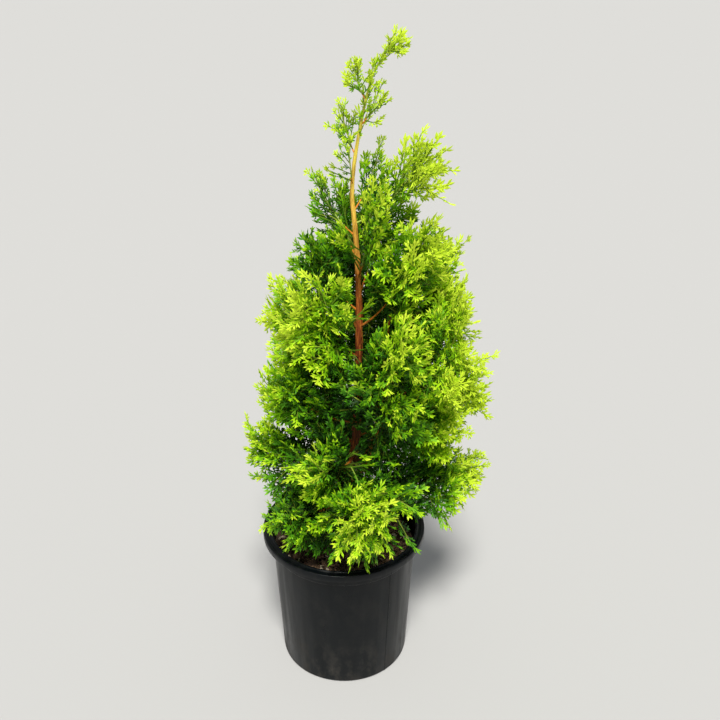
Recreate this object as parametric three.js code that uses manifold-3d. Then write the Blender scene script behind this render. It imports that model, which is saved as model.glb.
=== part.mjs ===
// A young thuja in a black nursery pot, in millimetres, +Z up.
// The origin is the centre of the pot's flat underside, and -Y is the side it is looked at from.
// A leader and a side stem carry tapering boughs, and each bough ends in its own mass of foliage:
// a twig with toothed blades on both sides, as the flat fern-like sprays of a thuja grow.
import * as THREE from "three";
import { mergeVertices } from "three/addons/utils/BufferGeometryUtils.js";
import Module from "manifold-3d";

const wasm = await Module();
wasm.setup();

// The pot, a 15 litre nursery container
const RIM_RADIUS = 160;
const POT_HEIGHT = 298;
const NECK_RADIUS = 144;
const BASE_RADIUS = 128;
const WALL = 2;
const FLOOR = 2.5;
const LIP_DROP = 13;
const SHOULDER_DROP = 34;
const SHOULDER_STEP = 3;
const BASE_CORNER = 5;
const EDGE = 3;
const DRAINS = 8;
const DRAIN_WIDTH = 26;
const DRAIN_HEIGHT = 13;
const DRAIN_DEPTH = 16;
const POT_SEGMENTS = 40;

// The soil, which is highest round the trunk
const SOIL_TOP = 270;
const SOIL_SLOPE = 5;
const SOIL_FLAT = 34;
const SOIL_BANK = 5.5;
const SOIL_BANK_TOP = 8;
const TOUCH = 0.3;

// The leader from the soil to its nodding tip: a centre and a radius at each point
const LEADER = [
  [8, 0, SOIL_TOP + TOUCH, 12.5],
  [9, -1, 300, 9.4],
  [12, -2, 400, 8.2],
  [24, 0, 500, 7.2],
  [29, 3, 650, 6.1],
  [30, 0, 780, 5.2],
  [25, -4, 900, 4.2],
  [19, -2, 985, 3.4],
  [30, 2, 1075, 2.5],
  [50, -4, 1165, 1.7],
  [66, -7, 1196, 1.3],
];
const LEADER_RINGS = 20;
const LEADER_SIDES = 8;

// The second stem that rises beside the leader on its right
const SIDE_STEM = [
  [10, -2, 392, 4.9],
  [46, -24, 470, 4.6],
  [66, -34, 570, 4],
  [72, -36, 670, 3.3],
  [80, -36, 745, 2.6],
];
const SIDE_STEM_RINGS = 8;
const LIMB_SIDES = 5;

// The boughs that wind up the leader, from the lowest to the highest: the turn from one to the next,
// where they leave the leader, how far they reach and how steeply they rise
const TURN = 222.5;
const FIRST_TURN = 148;
const TURN_SPREAD = 20;
const BOUGHS = 22;
const LOWEST_ROOT = 338;
const HIGHEST_ROOT = 860;
const ROOT_CROWDING = 1.35;
const WIDEST_REACH = 194;
const LOPSIDED = 0.2;
const REACH_SPREAD = [0.9, 1.08];
const LOWEST_REACH = 0.84;
const FULL_REACH_FROM = 0.2;
const TOP_LOSS = 0.74;
const TOP_POWER = 2.3;
const LOW_SLOPE = 8;
const HIGH_SLOPE = 66;
const SLOPE_POWER = 0.85;
const SLOPE_SPREAD = 6;
const BEND_OUT = 0.58;
const BEND_UP = 0.3;
const BOUGH_RADIUS = 4.2;
const TOP_BOUGH = 0.55;

// The share of a bough that stays bare, and the root height from which the mass starts at the leader
const LOW_BARE = 0.2;
const HIGH_BARE = 0.16;
const BARE_UNDER = 745;
const BOUGH_RINGS = 3;
const TWIG_RINGS = 4;

// The small shoots high on the leader: where they leave it, and the lowest and highest one's sizes
const SHOOT_HEIGHTS = [904, 948, 994, 1042, 1090, 1132];
const SHOOT_TURN = 178;
const SHOOT_REACH = [60, 22];
const SHOOT_RISE = [88, 46];
const SHOOT_RADIUS = [1.7, 1.2];

// How far the curves of the two stems are carried on at their tips
const LEADER_LIFT = [12, -1, 12];
const SIDE_STEM_LIFT = [16, 2, 96];

// How near a limb may pass a stem or another limb, and the steps by which it turns aside, in degrees
const STEM_PASS = 22;
const LIMB_PASS = 11;
const STEP_ASIDE = 5;
const MOST_STEPS = 12;

// The blades on a mass of foliage
const BLADE_LENGTH = 138;
const BLADE_WIDTH = 0.4;
const BLADE_THICKNESS = 1.8;
const BLADE_GAP = 26;
const BLADE_SINK = 3;
const BLADE_NECK = 0.03;
const FIRST_TOOTH = 0.1;
const TOOTHED = 0.7;
const TOOTH_RISE = 0.24;
const TOOTH_TAPER = 0.72;
const TOOTH_DEPTH = 0.6;
const TOOTH_STAGGER = 0.05;
const MIDRIB_START = 0.2;
const THREE_TEETH_FROM = 56;
const INNER_ANGLE = 62;
const OUTER_ANGLE = 38;
const BLADE_ROLL = 66;
const BLADE_SPREAD = [0.9, 1.1];
const OUTER_BLADE = 0.5;
const FIRST_BLADE = 0.05;
const NEAREST_BLADE = 14;
const LAST_BLADE = 0.97;
const FEWEST_BLADES = 3;
const FULL_TWIG = 200;
const SMALLEST_SIZE = 0.36;
const SHORTEST = 17;
const SHORTEST_SHARE = 0.4;
const SHRINK = 0.88;
const TWIG_TIP = 0.9;

// How far a blade stays from the next mass, from a stem and from the soil and the pot's rim
const SPACE = 1.5;
const STEM_CLEAR = 8;
const NEAREST_STEM = 2;
const SOIL_CLEAR = 12;
const RIM_CLEAR = 16;
const INNER_ZONE = 120;

const BARK = { color: 0x8c4a26, roughness: 0.85, metalness: 0 };
const LEAF = { color: 0x5c8a14, roughness: 0.55, metalness: 0 };
const PLASTIC = { color: 0x0b0e11, roughness: 0.45, metalness: 0 };
const MULCH = { color: 0x4a3a30, roughness: 1, metalness: 0 };

const degrees = THREE.MathUtils.degToRad;
const mix = THREE.MathUtils.lerp;
const vector = ([x, y, z]) => new THREE.Vector3(x, y, z);
const group = new THREE.Group();

// A repeatable number from 0 to 1 for each set of whole-number keys
function chance(...keys) {
  let state = 20240611;
  for (const key of keys) {
    state = (Math.imul(state ^ (key + 1), 0x9e3779b1) + 0x7f4a7c15) >>> 0;
    state = (state ^ (state >>> 15)) >>> 0;
  }
  return state / 4294967296;
}

function solidOf(geometry) {
  const bare = geometry.clone();
  bare.deleteAttribute("normal");
  bare.deleteAttribute("uv");
  const merged = mergeVertices(bare, 1e-4);
  return new wasm.Manifold(
    new wasm.Mesh({
      numProp: 3,
      vertProperties: new Float32Array(merged.attributes.position.array),
      triVerts: new Uint32Array(merged.index.array),
    }),
  );
}

// The largest closed body of a solid, without loose scraps
function wholeBody(solid) {
  return solid.decompose().reduce((best, body) => (body.volume() > best.volume() ? body : best));
}

function geometryOf(solid) {
  const mesh = solid.getMesh();
  const step = mesh.numProp;
  const corners = new Float32Array(mesh.numVert * 3);
  for (let i = 0; i < mesh.numVert; i++) {
    corners.set(mesh.vertProperties.subarray(i * step, i * step + 3), i * 3);
  }
  const geometry = new THREE.BufferGeometry();
  geometry.setAttribute("position", new THREE.BufferAttribute(corners, 3));
  geometry.setIndex(new THREE.BufferAttribute(new Uint32Array(mesh.triVerts), 1));
  geometry.computeVertexNormals();
  return geometry;
}

function closedGeometry(corners, index) {
  const geometry = new THREE.BufferGeometry();
  geometry.setAttribute("position", new THREE.Float32BufferAttribute(corners, 3));
  geometry.setIndex(index);
  return geometry;
}

function addNode(name, geometry, look) {
  const mesh = new THREE.Mesh(geometry, new THREE.MeshStandardMaterial(look));
  mesh.name = name;
  group.add(mesh);
}

// LatheGeometry turns about Y, so this stands it up on Z
function lathed(profile) {
  const points = profile.map(([r, z]) => new THREE.Vector2(r, z));
  return new THREE.LatheGeometry(points, POT_SEGMENTS).rotateX(Math.PI / 2);
}

// The pot: a thin shell with a turned-down lip, a shoulder under it and drain notches at its foot
function addPot() {
  const top = POT_HEIGHT;
  const shoulder = top - SHOULDER_DROP;
  const inner = NECK_RADIUS - WALL;
  const profile = [
    [0, 0],
    [BASE_RADIUS - BASE_CORNER, 0],
    [BASE_RADIUS, BASE_CORNER],
    [NECK_RADIUS - SHOULDER_STEP, shoulder - SHOULDER_STEP],
    [NECK_RADIUS, shoulder + SHOULDER_STEP],
    [NECK_RADIUS, top - LIP_DROP + WALL],
    [RIM_RADIUS - WALL, top - LIP_DROP],
    [RIM_RADIUS, top - LIP_DROP + WALL],
    [RIM_RADIUS, top - EDGE],
    [RIM_RADIUS - EDGE, top],
    [inner + EDGE, top],
    [inner, top - EDGE],
    [inner, shoulder + SHOULDER_STEP],
    [inner - SHOULDER_STEP, shoulder - SHOULDER_STEP],
    [BASE_RADIUS - WALL, BASE_CORNER + FLOOR],
    [BASE_RADIUS - BASE_CORNER, FLOOR],
    [0, FLOOR],
  ];
  let shell = solidOf(lathed(profile));
  for (let i = 0; i < DRAINS; i++) {
    const notch = new THREE.BoxGeometry(DRAIN_DEPTH * 2, DRAIN_WIDTH, DRAIN_HEIGHT * 2);
    notch.translate(BASE_RADIUS, 0, 0);
    notch.rotateZ((2 * Math.PI * (i + 0.5)) / DRAINS);
    shell = shell.subtract(solidOf(notch));
  }
  addNode("pot", geometryOf(shell), PLASTIC);
}

function addSoil() {
  const shoulder = POT_HEIGHT - SHOULDER_DROP;
  const wall = NECK_RADIUS - WALL - SHOULDER_STEP - 2 * TOUCH;
  const profile = [
    [0, FLOOR + TOUCH],
    [BASE_RADIUS - BASE_CORNER - TOUCH, FLOOR + TOUCH],
    [BASE_RADIUS - WALL - TOUCH, BASE_CORNER + FLOOR + TOUCH],
    [wall, shoulder - SOIL_BANK_TOP],
    [wall - SOIL_BANK, SOIL_TOP - SOIL_SLOPE],
    [SOIL_FLAT, SOIL_TOP],
    [0, SOIL_TOP],
  ];
  addNode("soil", geometryOf(solidOf(lathed(profile))), MULCH);
}

// A limb is a curve with a radius at every share of its length and a sideways direction
function stemLimb(points, swell) {
  const curve = new THREE.CatmullRomCurve3(points.map(vector), false, "catmullrom", 0.5);
  const radii = points.map((point) => point[3]);
  const radiusAt = (t) => {
    const place = Math.min(t, 0.99999) * (radii.length - 1);
    const i = Math.floor(place);
    return mix(radii[i], radii[i + 1], place - i) + swell;
  };
  return { curve, radiusAt, sideways: new THREE.Vector3(0, 1, 0) };
}

// A closed tapering tube from one share of the limb's curve to another
function limbGeometry(limb, from, to, rings, sides, flatFoot = false) {
  const corners = [];
  const index = [];
  for (let i = 0; i <= rings; i++) {
    const t = mix(from, to, i / rings);
    const centre = limb.curve.getPoint(t);
    const along = flatFoot && i === 0 ? new THREE.Vector3(0, 0, 1) : limb.curve.getTangent(t);
    const across = limb.sideways.clone().addScaledVector(along, -limb.sideways.dot(along)).normalize();
    const third = new THREE.Vector3().crossVectors(along, across);
    for (let k = 0; k < sides; k++) {
      const turn = (2 * Math.PI * k) / sides;
      const point = centre.clone();
      point.addScaledVector(across, limb.radiusAt(t) * Math.cos(turn));
      point.addScaledVector(third, limb.radiusAt(t) * Math.sin(turn));
      corners.push(...point.toArray());
    }
  }
  for (let i = 0; i < rings; i++) {
    for (let k = 0; k < sides; k++) {
      const a = i * sides + k;
      const b = i * sides + ((k + 1) % sides);
      index.push(a, b, b + sides, a, b + sides, a + sides);
    }
  }
  const last = rings * sides;
  for (let k = 1; k < sides - 1; k++) {
    index.push(0, k + 1, k, last, last + k, last + k + 1);
  }
  return closedGeometry(corners, index);
}

// The share of a stem's curve that lies at a height
function shareAtHeight(limb, height) {
  let low = 0;
  let high = 1;
  for (let i = 0; i < 40; i++) {
    const middle = (low + high) / 2;
    if (limb.curve.getPoint(middle).z < height) low = middle;
    else high = middle;
  }
  return low;
}

// A bough leaves its stem, runs outwards and then turns up to its tip
function boughLimb({ stem, root, turn, reach, rise, radius }) {
  const start = stem.curve.getPoint(shareAtHeight(stem, root));
  const out = new THREE.Vector3(Math.cos(degrees(turn)), Math.sin(degrees(turn)), 0);
  const bend = start.clone().addScaledVector(out, reach * BEND_OUT);
  bend.z += rise * BEND_UP;
  const tip = start.clone().addScaledVector(out, reach);
  tip.z += rise;
  const curve = new THREE.QuadraticBezierCurve3(start, bend, tip);
  const radiusAt = (t) => mix(radius, TWIG_TIP, Math.sqrt(t));
  return { curve, radiusAt, sideways: new THREE.Vector3(-out.y, out.x, 0) };
}

const leader = stemLimb(LEADER, 0);
const sideStem = stemLimb(SIDE_STEM, 0);
const stemSpace = (points, rings, sides) =>
  solidOf(limbGeometry(stemLimb(points, TOUCH * 1.5), 0, 1, rings, sides, true));
const leaderSpace = stemSpace(LEADER, LEADER_RINGS, LEADER_SIDES);
const sideStemSpace = stemSpace(SIDE_STEM, SIDE_STEM_RINGS, LIMB_SIDES);

const PATH_STEPS = 10;
const pathOf = (limb, steps) => Array.from({ length: steps + 1 }, (_, i) => limb.curve.getPoint(i / steps));

function distanceTo(path, point) {
  const line = new THREE.Line3();
  const nearest = new THREE.Vector3();
  let best = Infinity;
  for (let i = 0; i + 1 < path.length; i++) {
    line.set(path[i], path[i + 1]).closestPointToPoint(point, true, nearest);
    best = Math.min(best, nearest.distanceTo(point));
  }
  return best;
}

// Every mass of foliage: the limb it grows along, and the share of that limb which stays bare
const masses = [];

// Whether a limb passes too near a stem that it doesn't grow from, or another limb
function crosses(limb, stem) {
  const points = pathOf(limb, PATH_STEPS * 2).slice(2);
  const other = stem === leader ? sideStem : leader;
  const near = (path, gap) => points.some((point) => distanceTo(path, point) < gap);
  return near(pathOf(other, 16), STEM_PASS) || masses.some((mass) => near(pathOf(mass.limb, 10), LIMB_PASS));
}

// Adds a limb at its turn, or at the nearest turn either way where it crosses nothing
function addLimb(mass) {
  const steps = Array.from({ length: 2 * MOST_STEPS + 1 }, (_, i) => Math.ceil(i / 2) * (i % 2 ? 1 : -1));
  const limbs = steps.map((step) => boughLimb({ ...mass, turn: mass.turn + step * STEP_ASIDE }));
  const limb = limbs.find((each) => !crosses(each, mass.stem));
  if (limb) masses.push({ ...mass, limb });
}

function windingBoughs() {
  for (let i = 0; i < BOUGHS; i++) {
    const share = i / (BOUGHS - 1);
    const turn = FIRST_TURN + TURN * i + TURN_SPREAD * (chance(i, 1) - 0.5);
    const lean = 1 + LOPSIDED * Math.cos(degrees(turn));
    const foot = mix(LOWEST_REACH, 1, Math.min(1, share / FULL_REACH_FROM));
    const swell = foot * (1 - Math.pow(share, TOP_POWER) * TOP_LOSS);
    const reach = WIDEST_REACH * swell * lean * mix(...REACH_SPREAD, chance(i, 2));
    const climb = mix(LOW_SLOPE, HIGH_SLOPE, Math.pow(share, SLOPE_POWER));
    const slope = climb + SLOPE_SPREAD * (chance(i, 3) - 0.5);
    const root = mix(LOWEST_ROOT, HIGHEST_ROOT, Math.pow(share, ROOT_CROWDING));
    addLimb({
      name: String(i + 1).padStart(2, "0"),
      stem: leader,
      root,
      turn,
      reach,
      rise: reach * Math.tan(degrees(slope)),
      radius: BOUGH_RADIUS * mix(1, TOP_BOUGH, share),
      bare: root < BARE_UNDER ? mix(LOW_BARE, HIGH_BARE, share) : 0,
    });
  }
}

// The boughs of the side stem, and the long shoot that arches out under the leader's tip
function namedBoughs() {
  const side = { stem: sideStem, radius: 2.9, bare: 0.22 };
  addLimb({ ...side, name: "side_right", root: 560, turn: -14, reach: 116, rise: 214 });
  addLimb({ ...side, name: "side_front", root: 520, turn: -80, reach: 108, rise: 150 });
  addLimb({ ...side, name: "side_back", root: 610, turn: 48, reach: 112, rise: 196 });
  const shoot = { stem: leader, radius: 2, bare: 0.5 };
  addLimb({ ...shoot, name: "long_shoot", root: 926, turn: -20, reach: 108, rise: 112 });
}

// The small shoots high on the leader, which grow straight from it
function leaderShoots() {
  SHOOT_HEIGHTS.forEach((root, i) => {
    const share = i / (SHOOT_HEIGHTS.length - 1);
    addLimb({
      name: "leader_" + (i + 1),
      stem: leader,
      root,
      turn: SHOOT_TURN + TURN * i,
      reach: mix(...SHOOT_REACH, share),
      rise: mix(...SHOOT_RISE, share),
      radius: mix(...SHOOT_RADIUS, share),
      bare: 0,
    });
  });
}

// The two stems end in a mass of their own, which carries their curve on
function stemTip(name, stem, lift) {
  const start = stem.curve.getPoint(1);
  const along = stem.curve.getTangent(1);
  start.addScaledVector(along, TOUCH);
  const bend = start.clone().addScaledVector(along, vector(lift).length() * 0.5);
  const curve = new THREE.QuadraticBezierCurve3(start, bend, start.clone().add(vector(lift)));
  const radiusAt = (t) => mix(stem.radiusAt(1), TWIG_TIP, t);
  masses.push({ name, stem, bare: 0, limb: { curve, radiusAt, sideways: new THREE.Vector3(0, 1, 0) } });
}

windingBoughs();
namedBoughs();
leaderShoots();
stemTip("leader_tip", leader, LEADER_LIFT);
stemTip("side_tip", sideStem, SIDE_STEM_LIFT);

// The space round each limb: a point belongs to the mass whose limb is nearest
const paths = masses.map((mass) => pathOf(mass.limb, PATH_STEPS));
const stemPaths = [pathOf(leader, 40), pathOf(sideStem, 16)];

function inOwnSpace(point, owner) {
  if (point.z < SOIL_TOP + SOIL_CLEAR) return false;
  const own = distanceTo(paths[owner], point);
  const overRim = Math.hypot(point.x, point.y) > INNER_ZONE;
  if (overRim && point.z < POT_HEIGHT + RIM_CLEAR) return false;
  const atStem = NEAREST_STEM + Math.min(STEM_CLEAR, own / 2 + NEAREST_STEM);
  if (stemPaths.some((path) => distanceTo(path, point) < atStem)) return false;
  return paths.every((path, i) => i === owner || distanceTo(path, point) > own + SPACE);
}

// The toothed outline of one blade, its length along +Y, with the tooth that each point belongs to
function bladeOutline(length, teeth) {
  const half = length * BLADE_WIDTH;
  const neck = Math.max(1.2, length * BLADE_NECK);
  const right = [[neck, -BLADE_SINK, 0]];
  for (let k = 0; k < teeth; k++) {
    const y = (FIRST_TOOTH + (TOOTHED * k) / teeth) * length;
    const width = half * (1 - (TOOTH_TAPER * k) / teeth);
    if (k > 0) right.push([width * (1 - TOOTH_DEPTH), y, k]);
    right.push([width, y + length * TOOTH_RISE, k]);
  }
  const left = right.map(([x, y, k], i) => [-x, i ? y + length * TOOTH_STAGGER : y, k]).reverse();
  return [...right, [0, length, teeth - 1], ...left];
}

// A blade is thickest along its midrib and sharp at its edge
function bladeGeometry({ root, along, across, length, teeth }) {
  const facing = new THREE.Vector3().crossVectors(across, along).normalize();
  const outline = bladeOutline(length, teeth);
  const midrib = Array.from({ length: teeth }, (_, k) => (MIDRIB_START + (TOOTHED * k) / teeth) * length);
  const points = [
    ...outline.map(([x, y]) => [x, y, 0]),
    ...midrib.map((y) => [0, y, BLADE_THICKNESS / 2]),
    ...midrib.map((y) => [0, y, -BLADE_THICKNESS / 2]),
  ];
  const corners = points.flatMap(([x, y, z]) =>
    root.clone().addScaledVector(across, x).addScaledVector(along, y).addScaledVector(facing, z).toArray(),
  );
  const index = [];
  const upper = outline.length;
  const lower = outline.length + teeth;
  outline.forEach(([, , tooth], i) => {
    const next = (i + 1) % outline.length;
    const nextTooth = outline[next][2];
    const shared = Math.min(tooth, nextTooth);
    index.push(i, next, upper + shared, next, i, lower + shared);
    if (tooth === nextTooth) return;
    const valley = tooth > nextTooth ? i : next;
    index.push(valley, upper + nextTooth, upper + tooth, valley, lower + tooth, lower + nextTooth);
  });
  return closedGeometry(corners, index);
}

// Where the blades of a mass sit: alternate sides of its twig, longest near the middle
function bladesOf(mass, owner) {
  const { curve, sideways } = mass.limb;
  const twig = curve.getLength();
  const from = Math.max(mass.bare + FIRST_BLADE, NEAREST_BLADE / twig);
  const count = Math.max(FEWEST_BLADES, Math.round(((1 - from) * twig) / BLADE_GAP));
  const size = THREE.MathUtils.clamp(twig / FULL_TWIG, SMALLEST_SIZE, 1);
  const blades = [];
  for (let j = 0; j <= count; j++) {
    const last = j === count;
    const share = j / count;
    const t = mix(from, LAST_BLADE, share);
    const along = curve.getTangent(t);
    const side = sideways.clone().multiplyScalar((j + owner) % 2 ? 1 : -1);
    const lift = new THREE.Vector3().crossVectors(side, along).normalize();
    const roll = degrees(BLADE_ROLL * (2 * chance(owner, j, 5) - 1));
    const swing = last ? 0 : degrees(mix(INNER_ANGLE, OUTER_ANGLE, share));
    const tilt = side.clone().multiplyScalar(Math.cos(roll)).addScaledVector(lift, Math.sin(roll));
    const way = along.clone().multiplyScalar(Math.cos(swing)).addScaledVector(tilt, Math.sin(swing));
    const flat = last ? tilt : along.clone().negate();
    const across = flat.addScaledVector(way, -flat.dot(way)).normalize();
    const spread = mix(...BLADE_SPREAD, chance(owner, j, 6));
    const length = BLADE_LENGTH * size * spread * mix(1, OUTER_BLADE, share);
    blades.push({ root: curve.getPoint(t), along: way.normalize(), across, length });
  }
  return blades;
}

// Shortens a blade until its whole outline lies in the mass's own space, or gives nothing
function fitted(blade, owner) {
  const shortest = Math.max(SHORTEST, blade.length * SHORTEST_SHARE);
  for (let length = blade.length; length > shortest; length *= SHRINK) {
    const teeth = length > THREE_TEETH_FROM ? 3 : 2;
    const outline = bladeOutline(length, teeth);
    const middles = outline.slice(1).map(([x, y], i) => [(x + outline[i][0]) / 2, (y + outline[i][1]) / 2]);
    const inside = [...outline, ...middles].every(([x, y]) => {
      const point = blade.root.clone().addScaledVector(blade.across, x).addScaledVector(blade.along, y);
      return y < length * MIDRIB_START || inOwnSpace(point, owner);
    });
    if (inside) return { ...blade, length, teeth };
  }
  return null;
}

function addMass(mass, owner) {
  const from = mass.bare > 0 ? mass.bare + TOUCH / mass.limb.curve.getLength() : 0;
  let solid = solidOf(limbGeometry(mass.limb, from, 1, TWIG_RINGS, 3));
  for (const blade of bladesOf(mass, owner)) {
    const kept = fitted(blade, owner);
    if (kept) solid = solid.add(solidOf(bladeGeometry(kept)));
  }
  const clear = mass.stem === leader ? leaderSpace : sideStemSpace;
  addNode("foliage_" + mass.name, geometryOf(wholeBody(solid.subtract(clear))), LEAF);
}

function addBough(mass) {
  const whole = solidOf(limbGeometry(mass.limb, 0, mass.bare, BOUGH_RINGS, LIMB_SIDES));
  const clear = mass.stem === leader ? leaderSpace : sideStemSpace;
  addNode("bough_" + mass.name, geometryOf(wholeBody(whole.subtract(clear))), BARK);
}

addPot();
addSoil();
addNode("leader", limbGeometry(leader, 0, 1, LEADER_RINGS, LEADER_SIDES, true), BARK);
const sideStemWhole = solidOf(limbGeometry(sideStem, 0, 1, SIDE_STEM_RINGS, LIMB_SIDES));
addNode("side_stem", geometryOf(wholeBody(sideStemWhole.subtract(leaderSpace))), BARK);
masses.filter((mass) => mass.bare > 0).forEach(addBough);
masses.forEach(addMass);

export default group;
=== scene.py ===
# A young thuja in a black nursery pot, in metres, +Z up, dressed round the frame of its solids.
# Limbs wind up a leader and a side stem by a seeded rule, and each ends in a mass of flat sprays
# that keeps to its own space. The rule is the solids' own, carried on here to the single fingers of
# scaly leaf that a spray is made of. Angles in degrees, unless a comment says otherwise.
from collections import namedtuple
from math import atan2, ceil, cos, pi, radians, sin, sqrt, tan, tau
from types import SimpleNamespace

import bpy
import numpy as np
from mathutils import Euler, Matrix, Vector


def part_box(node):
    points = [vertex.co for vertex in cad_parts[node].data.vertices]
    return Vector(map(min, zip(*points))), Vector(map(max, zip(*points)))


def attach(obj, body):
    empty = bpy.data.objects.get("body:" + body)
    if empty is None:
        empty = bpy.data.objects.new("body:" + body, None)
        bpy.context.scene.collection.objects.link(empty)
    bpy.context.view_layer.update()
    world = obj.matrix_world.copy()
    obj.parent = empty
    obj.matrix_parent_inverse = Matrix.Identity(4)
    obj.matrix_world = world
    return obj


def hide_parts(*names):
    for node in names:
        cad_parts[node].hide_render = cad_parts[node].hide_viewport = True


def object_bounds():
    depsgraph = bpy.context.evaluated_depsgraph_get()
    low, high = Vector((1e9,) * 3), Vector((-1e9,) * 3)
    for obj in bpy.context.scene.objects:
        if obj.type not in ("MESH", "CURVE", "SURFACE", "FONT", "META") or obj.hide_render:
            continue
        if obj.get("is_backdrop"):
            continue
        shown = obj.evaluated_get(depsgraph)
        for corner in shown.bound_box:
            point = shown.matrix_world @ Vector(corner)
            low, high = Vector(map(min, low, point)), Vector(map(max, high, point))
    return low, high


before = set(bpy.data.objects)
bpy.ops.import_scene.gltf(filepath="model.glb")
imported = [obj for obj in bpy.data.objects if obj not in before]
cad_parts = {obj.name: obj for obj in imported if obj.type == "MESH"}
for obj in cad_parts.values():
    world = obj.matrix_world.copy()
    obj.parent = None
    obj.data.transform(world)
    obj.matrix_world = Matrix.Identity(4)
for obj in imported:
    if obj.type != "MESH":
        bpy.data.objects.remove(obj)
cad_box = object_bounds()

UP = np.array([0.0, 0.0, 1.0])
SEED = 20240611
TOUCH = 0.0003

# Sizes that come from the frame
POT_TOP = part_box("pot")[1].z
RIM_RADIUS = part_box("pot")[1].x
SPARE = 0.006
BOX_LOW = np.array(cad_box[0]) - SPARE
BOX_HIGH = np.array(cad_box[1]) + SPARE

# The view: the plant stands as far from the camera, and as far below it, as in the photograph
CAMERA_DISTANCE = 1.541
CAMERA_HEIGHT = 1.473
AIM = (0.032, 0.0, 0.665)
LENS = 48.0
FLOOR_HALF = 40
FLOOR_GREY = (0.5, 0.5, 0.495, 1)
SKY = [(0.0, (221, 221, 219)), (0.36, (219, 220, 220)), (0.62, (112, 115, 121))]
SUN_PLACE = (0.0, -1.5, 2.7)
SUN_ENERGY = 4.2
SUN_WIDTH = 14
SUN_COLOUR = (1.0, 0.98, 0.93)

# The leader from the soil to its nodding tip, and the side stem: a centre and a radius at each point
SOIL_TOP = 0.27
LEADER = [
    (0.008, 0, SOIL_TOP + TOUCH, 0.0125),
    (0.009, -0.001, 0.3, 0.0094),
    (0.012, -0.002, 0.4, 0.0082),
    (0.024, 0, 0.5, 0.0072),
    (0.029, 0.003, 0.65, 0.0061),
    (0.03, 0, 0.78, 0.0052),
    (0.025, -0.004, 0.9, 0.0042),
    (0.019, -0.002, 0.985, 0.0034),
    (0.03, 0.002, 1.075, 0.0025),
    (0.05, -0.004, 1.165, 0.0017),
    (0.066, -0.007, 1.196, 0.0013),
]
SIDE_STEM = [
    (0.01, -0.002, 0.392, 0.0049),
    (0.046, -0.024, 0.47, 0.0046),
    (0.066, -0.034, 0.57, 0.004),
    (0.072, -0.036, 0.67, 0.0033),
    (0.08, -0.036, 0.745, 0.0026),
]
LEADER_X = [point[0] for point in LEADER]
LEADER_Z = [point[2] for point in LEADER]
BARE_STRETCHES = ((0.43, 0.51), (0.66, 1.06))
BARE_STRIP = 0.009

# The boughs that wind up the leader. A pair is the value of the lowest and of the highest bough.
BOUGHS = 22
FIRST_TURN = 148
TURN = 222.5
TURN_SPREAD = 20
ROOTS = (0.338, 0.86)
ROOT_CROWDING = 1.35
WIDEST_REACH = 0.194
REACH_SPREAD = (0.9, 1.08)
LOWEST_SWELL = 0.84
TOP_SHRINK = 0.74
LOPSIDED = 0.2
SLOPES = (8, 66)
SLOPE_SPREAD = 6
BOUGH_RADII = (0.0042, 0.00231)
BARE_SHARES = (0.2, 0.16)
BARE_UNDER = 0.745
BEND_OUT = 0.58
BEND_UP = 0.3
TWIG_TIP = 0.0009

# How far limbs pass clear of stems and of each other, and how they step aside for that
STEM_PASS = 0.022
LIMB_PASS = 0.011
STEP_ASIDE = 5
MOST_STEPS = 12

# The side stem's boughs: name, height of the root, turn, reach and rise. The long shoot that arches out
# under the leader's tip: its bare share, the same four, and its radius.
SIDE_BARE = 0.22
SIDE_RADIUS = 0.0029
SIDE_BOUGHS = [
    ("side_right", 0.56, -14, 0.116, 0.214),
    ("side_front", 0.52, -80, 0.108, 0.15),
    ("side_back", 0.61, 48, 0.112, 0.196),
]
LONG_SHOOT = (0.5, 0.926, -20, 0.108, 0.112, 0.002)

# The small shoots high on the leader, from the lowest to the highest, and the ends of the two stems
SHOOT_HEIGHTS = (0.904, 0.948, 0.994, 1.042, 1.09, 1.132)
SHOOT_TURN = 178
SHOOT_SIZES = ((0.06, 0.022), (0.088, 0.046), (0.0017, 0.0012))
LEADER_LIFT = (0.012, -0.001, 0.012)
SIDE_LIFT = (0.016, 0.002, 0.096)

# A habit is how a mass grows: the width of its sprays against their length, how far its finer sprays
# swing out, how far the side sprays do, how many of those a spray has, and how many sprays stand here
# for each one of the solids
Habit = namedtuple("Habit", "width swing side_swing side_sprays finer")
BROAD = Habit(0.36, 1.0, 58, 3, 6)
SLIM = Habit(0.24, 0.62, 36, 2, 6)
WHIP = Habit(0.17, 0.46, 24, 1, 4)
OPEN_ABOVE = 0.8
SLIM_UNDER = 0.55

# The sprays on a mass: where they sit, and how long and how far turned they are
SPRAY_LENGTH = 0.138
SPRAY_GAP = 0.026
FIRST_SPRAY = 0.014
LAST_SPRAY = 0.97
FULL_TWIG = 0.2
SMALLEST = 0.36
SWINGS = (62, 38)
SPRAY_ROLL = 132
FINER_ROLL = 184
FINER_SWING = 32
SIDE_PLACES = (0.08, 0.6)
SIDE_LENGTHS = (0.46, 0.74)
INNER_SPRAYS = 0.005
INNER_LENGTH = 0.064
GREEN_ABOVE = 1.06
LEADER_SPRAYS = 15
LEADER_LENGTHS = (0.044, 0.024)
LEADER_SWINGS = (8, 20)
SPACING = (0.85, 1.15)
SPRAY_CURL = 0.16
LOW_CURLS = (-1.9, 0.3)
HIGH_CURLS = (0.1, 1.1)
DROOP_UNDER = 0.34
DROOP_FADE = 0.2

# The space that a mass's sprays keep to, and what too few fingers or too long a bare stretch are
OVERLAP = 0.014
STEM_CLEAR = 0.008
SOIL_CLEAR = 0.012
RIM_CLEAR = 0.016
INNER_ZONE = 0.12
PATH_STEPS = 10
SHORTEST_SPRAY = 0.017
AXIS_PROBES = (0.4, 0.6, 0.8, 1.0)
FEWEST_FINGERS = 3
FEWEST_SHARE = 0.2
WIDEST_GAP = 0.036

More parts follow.
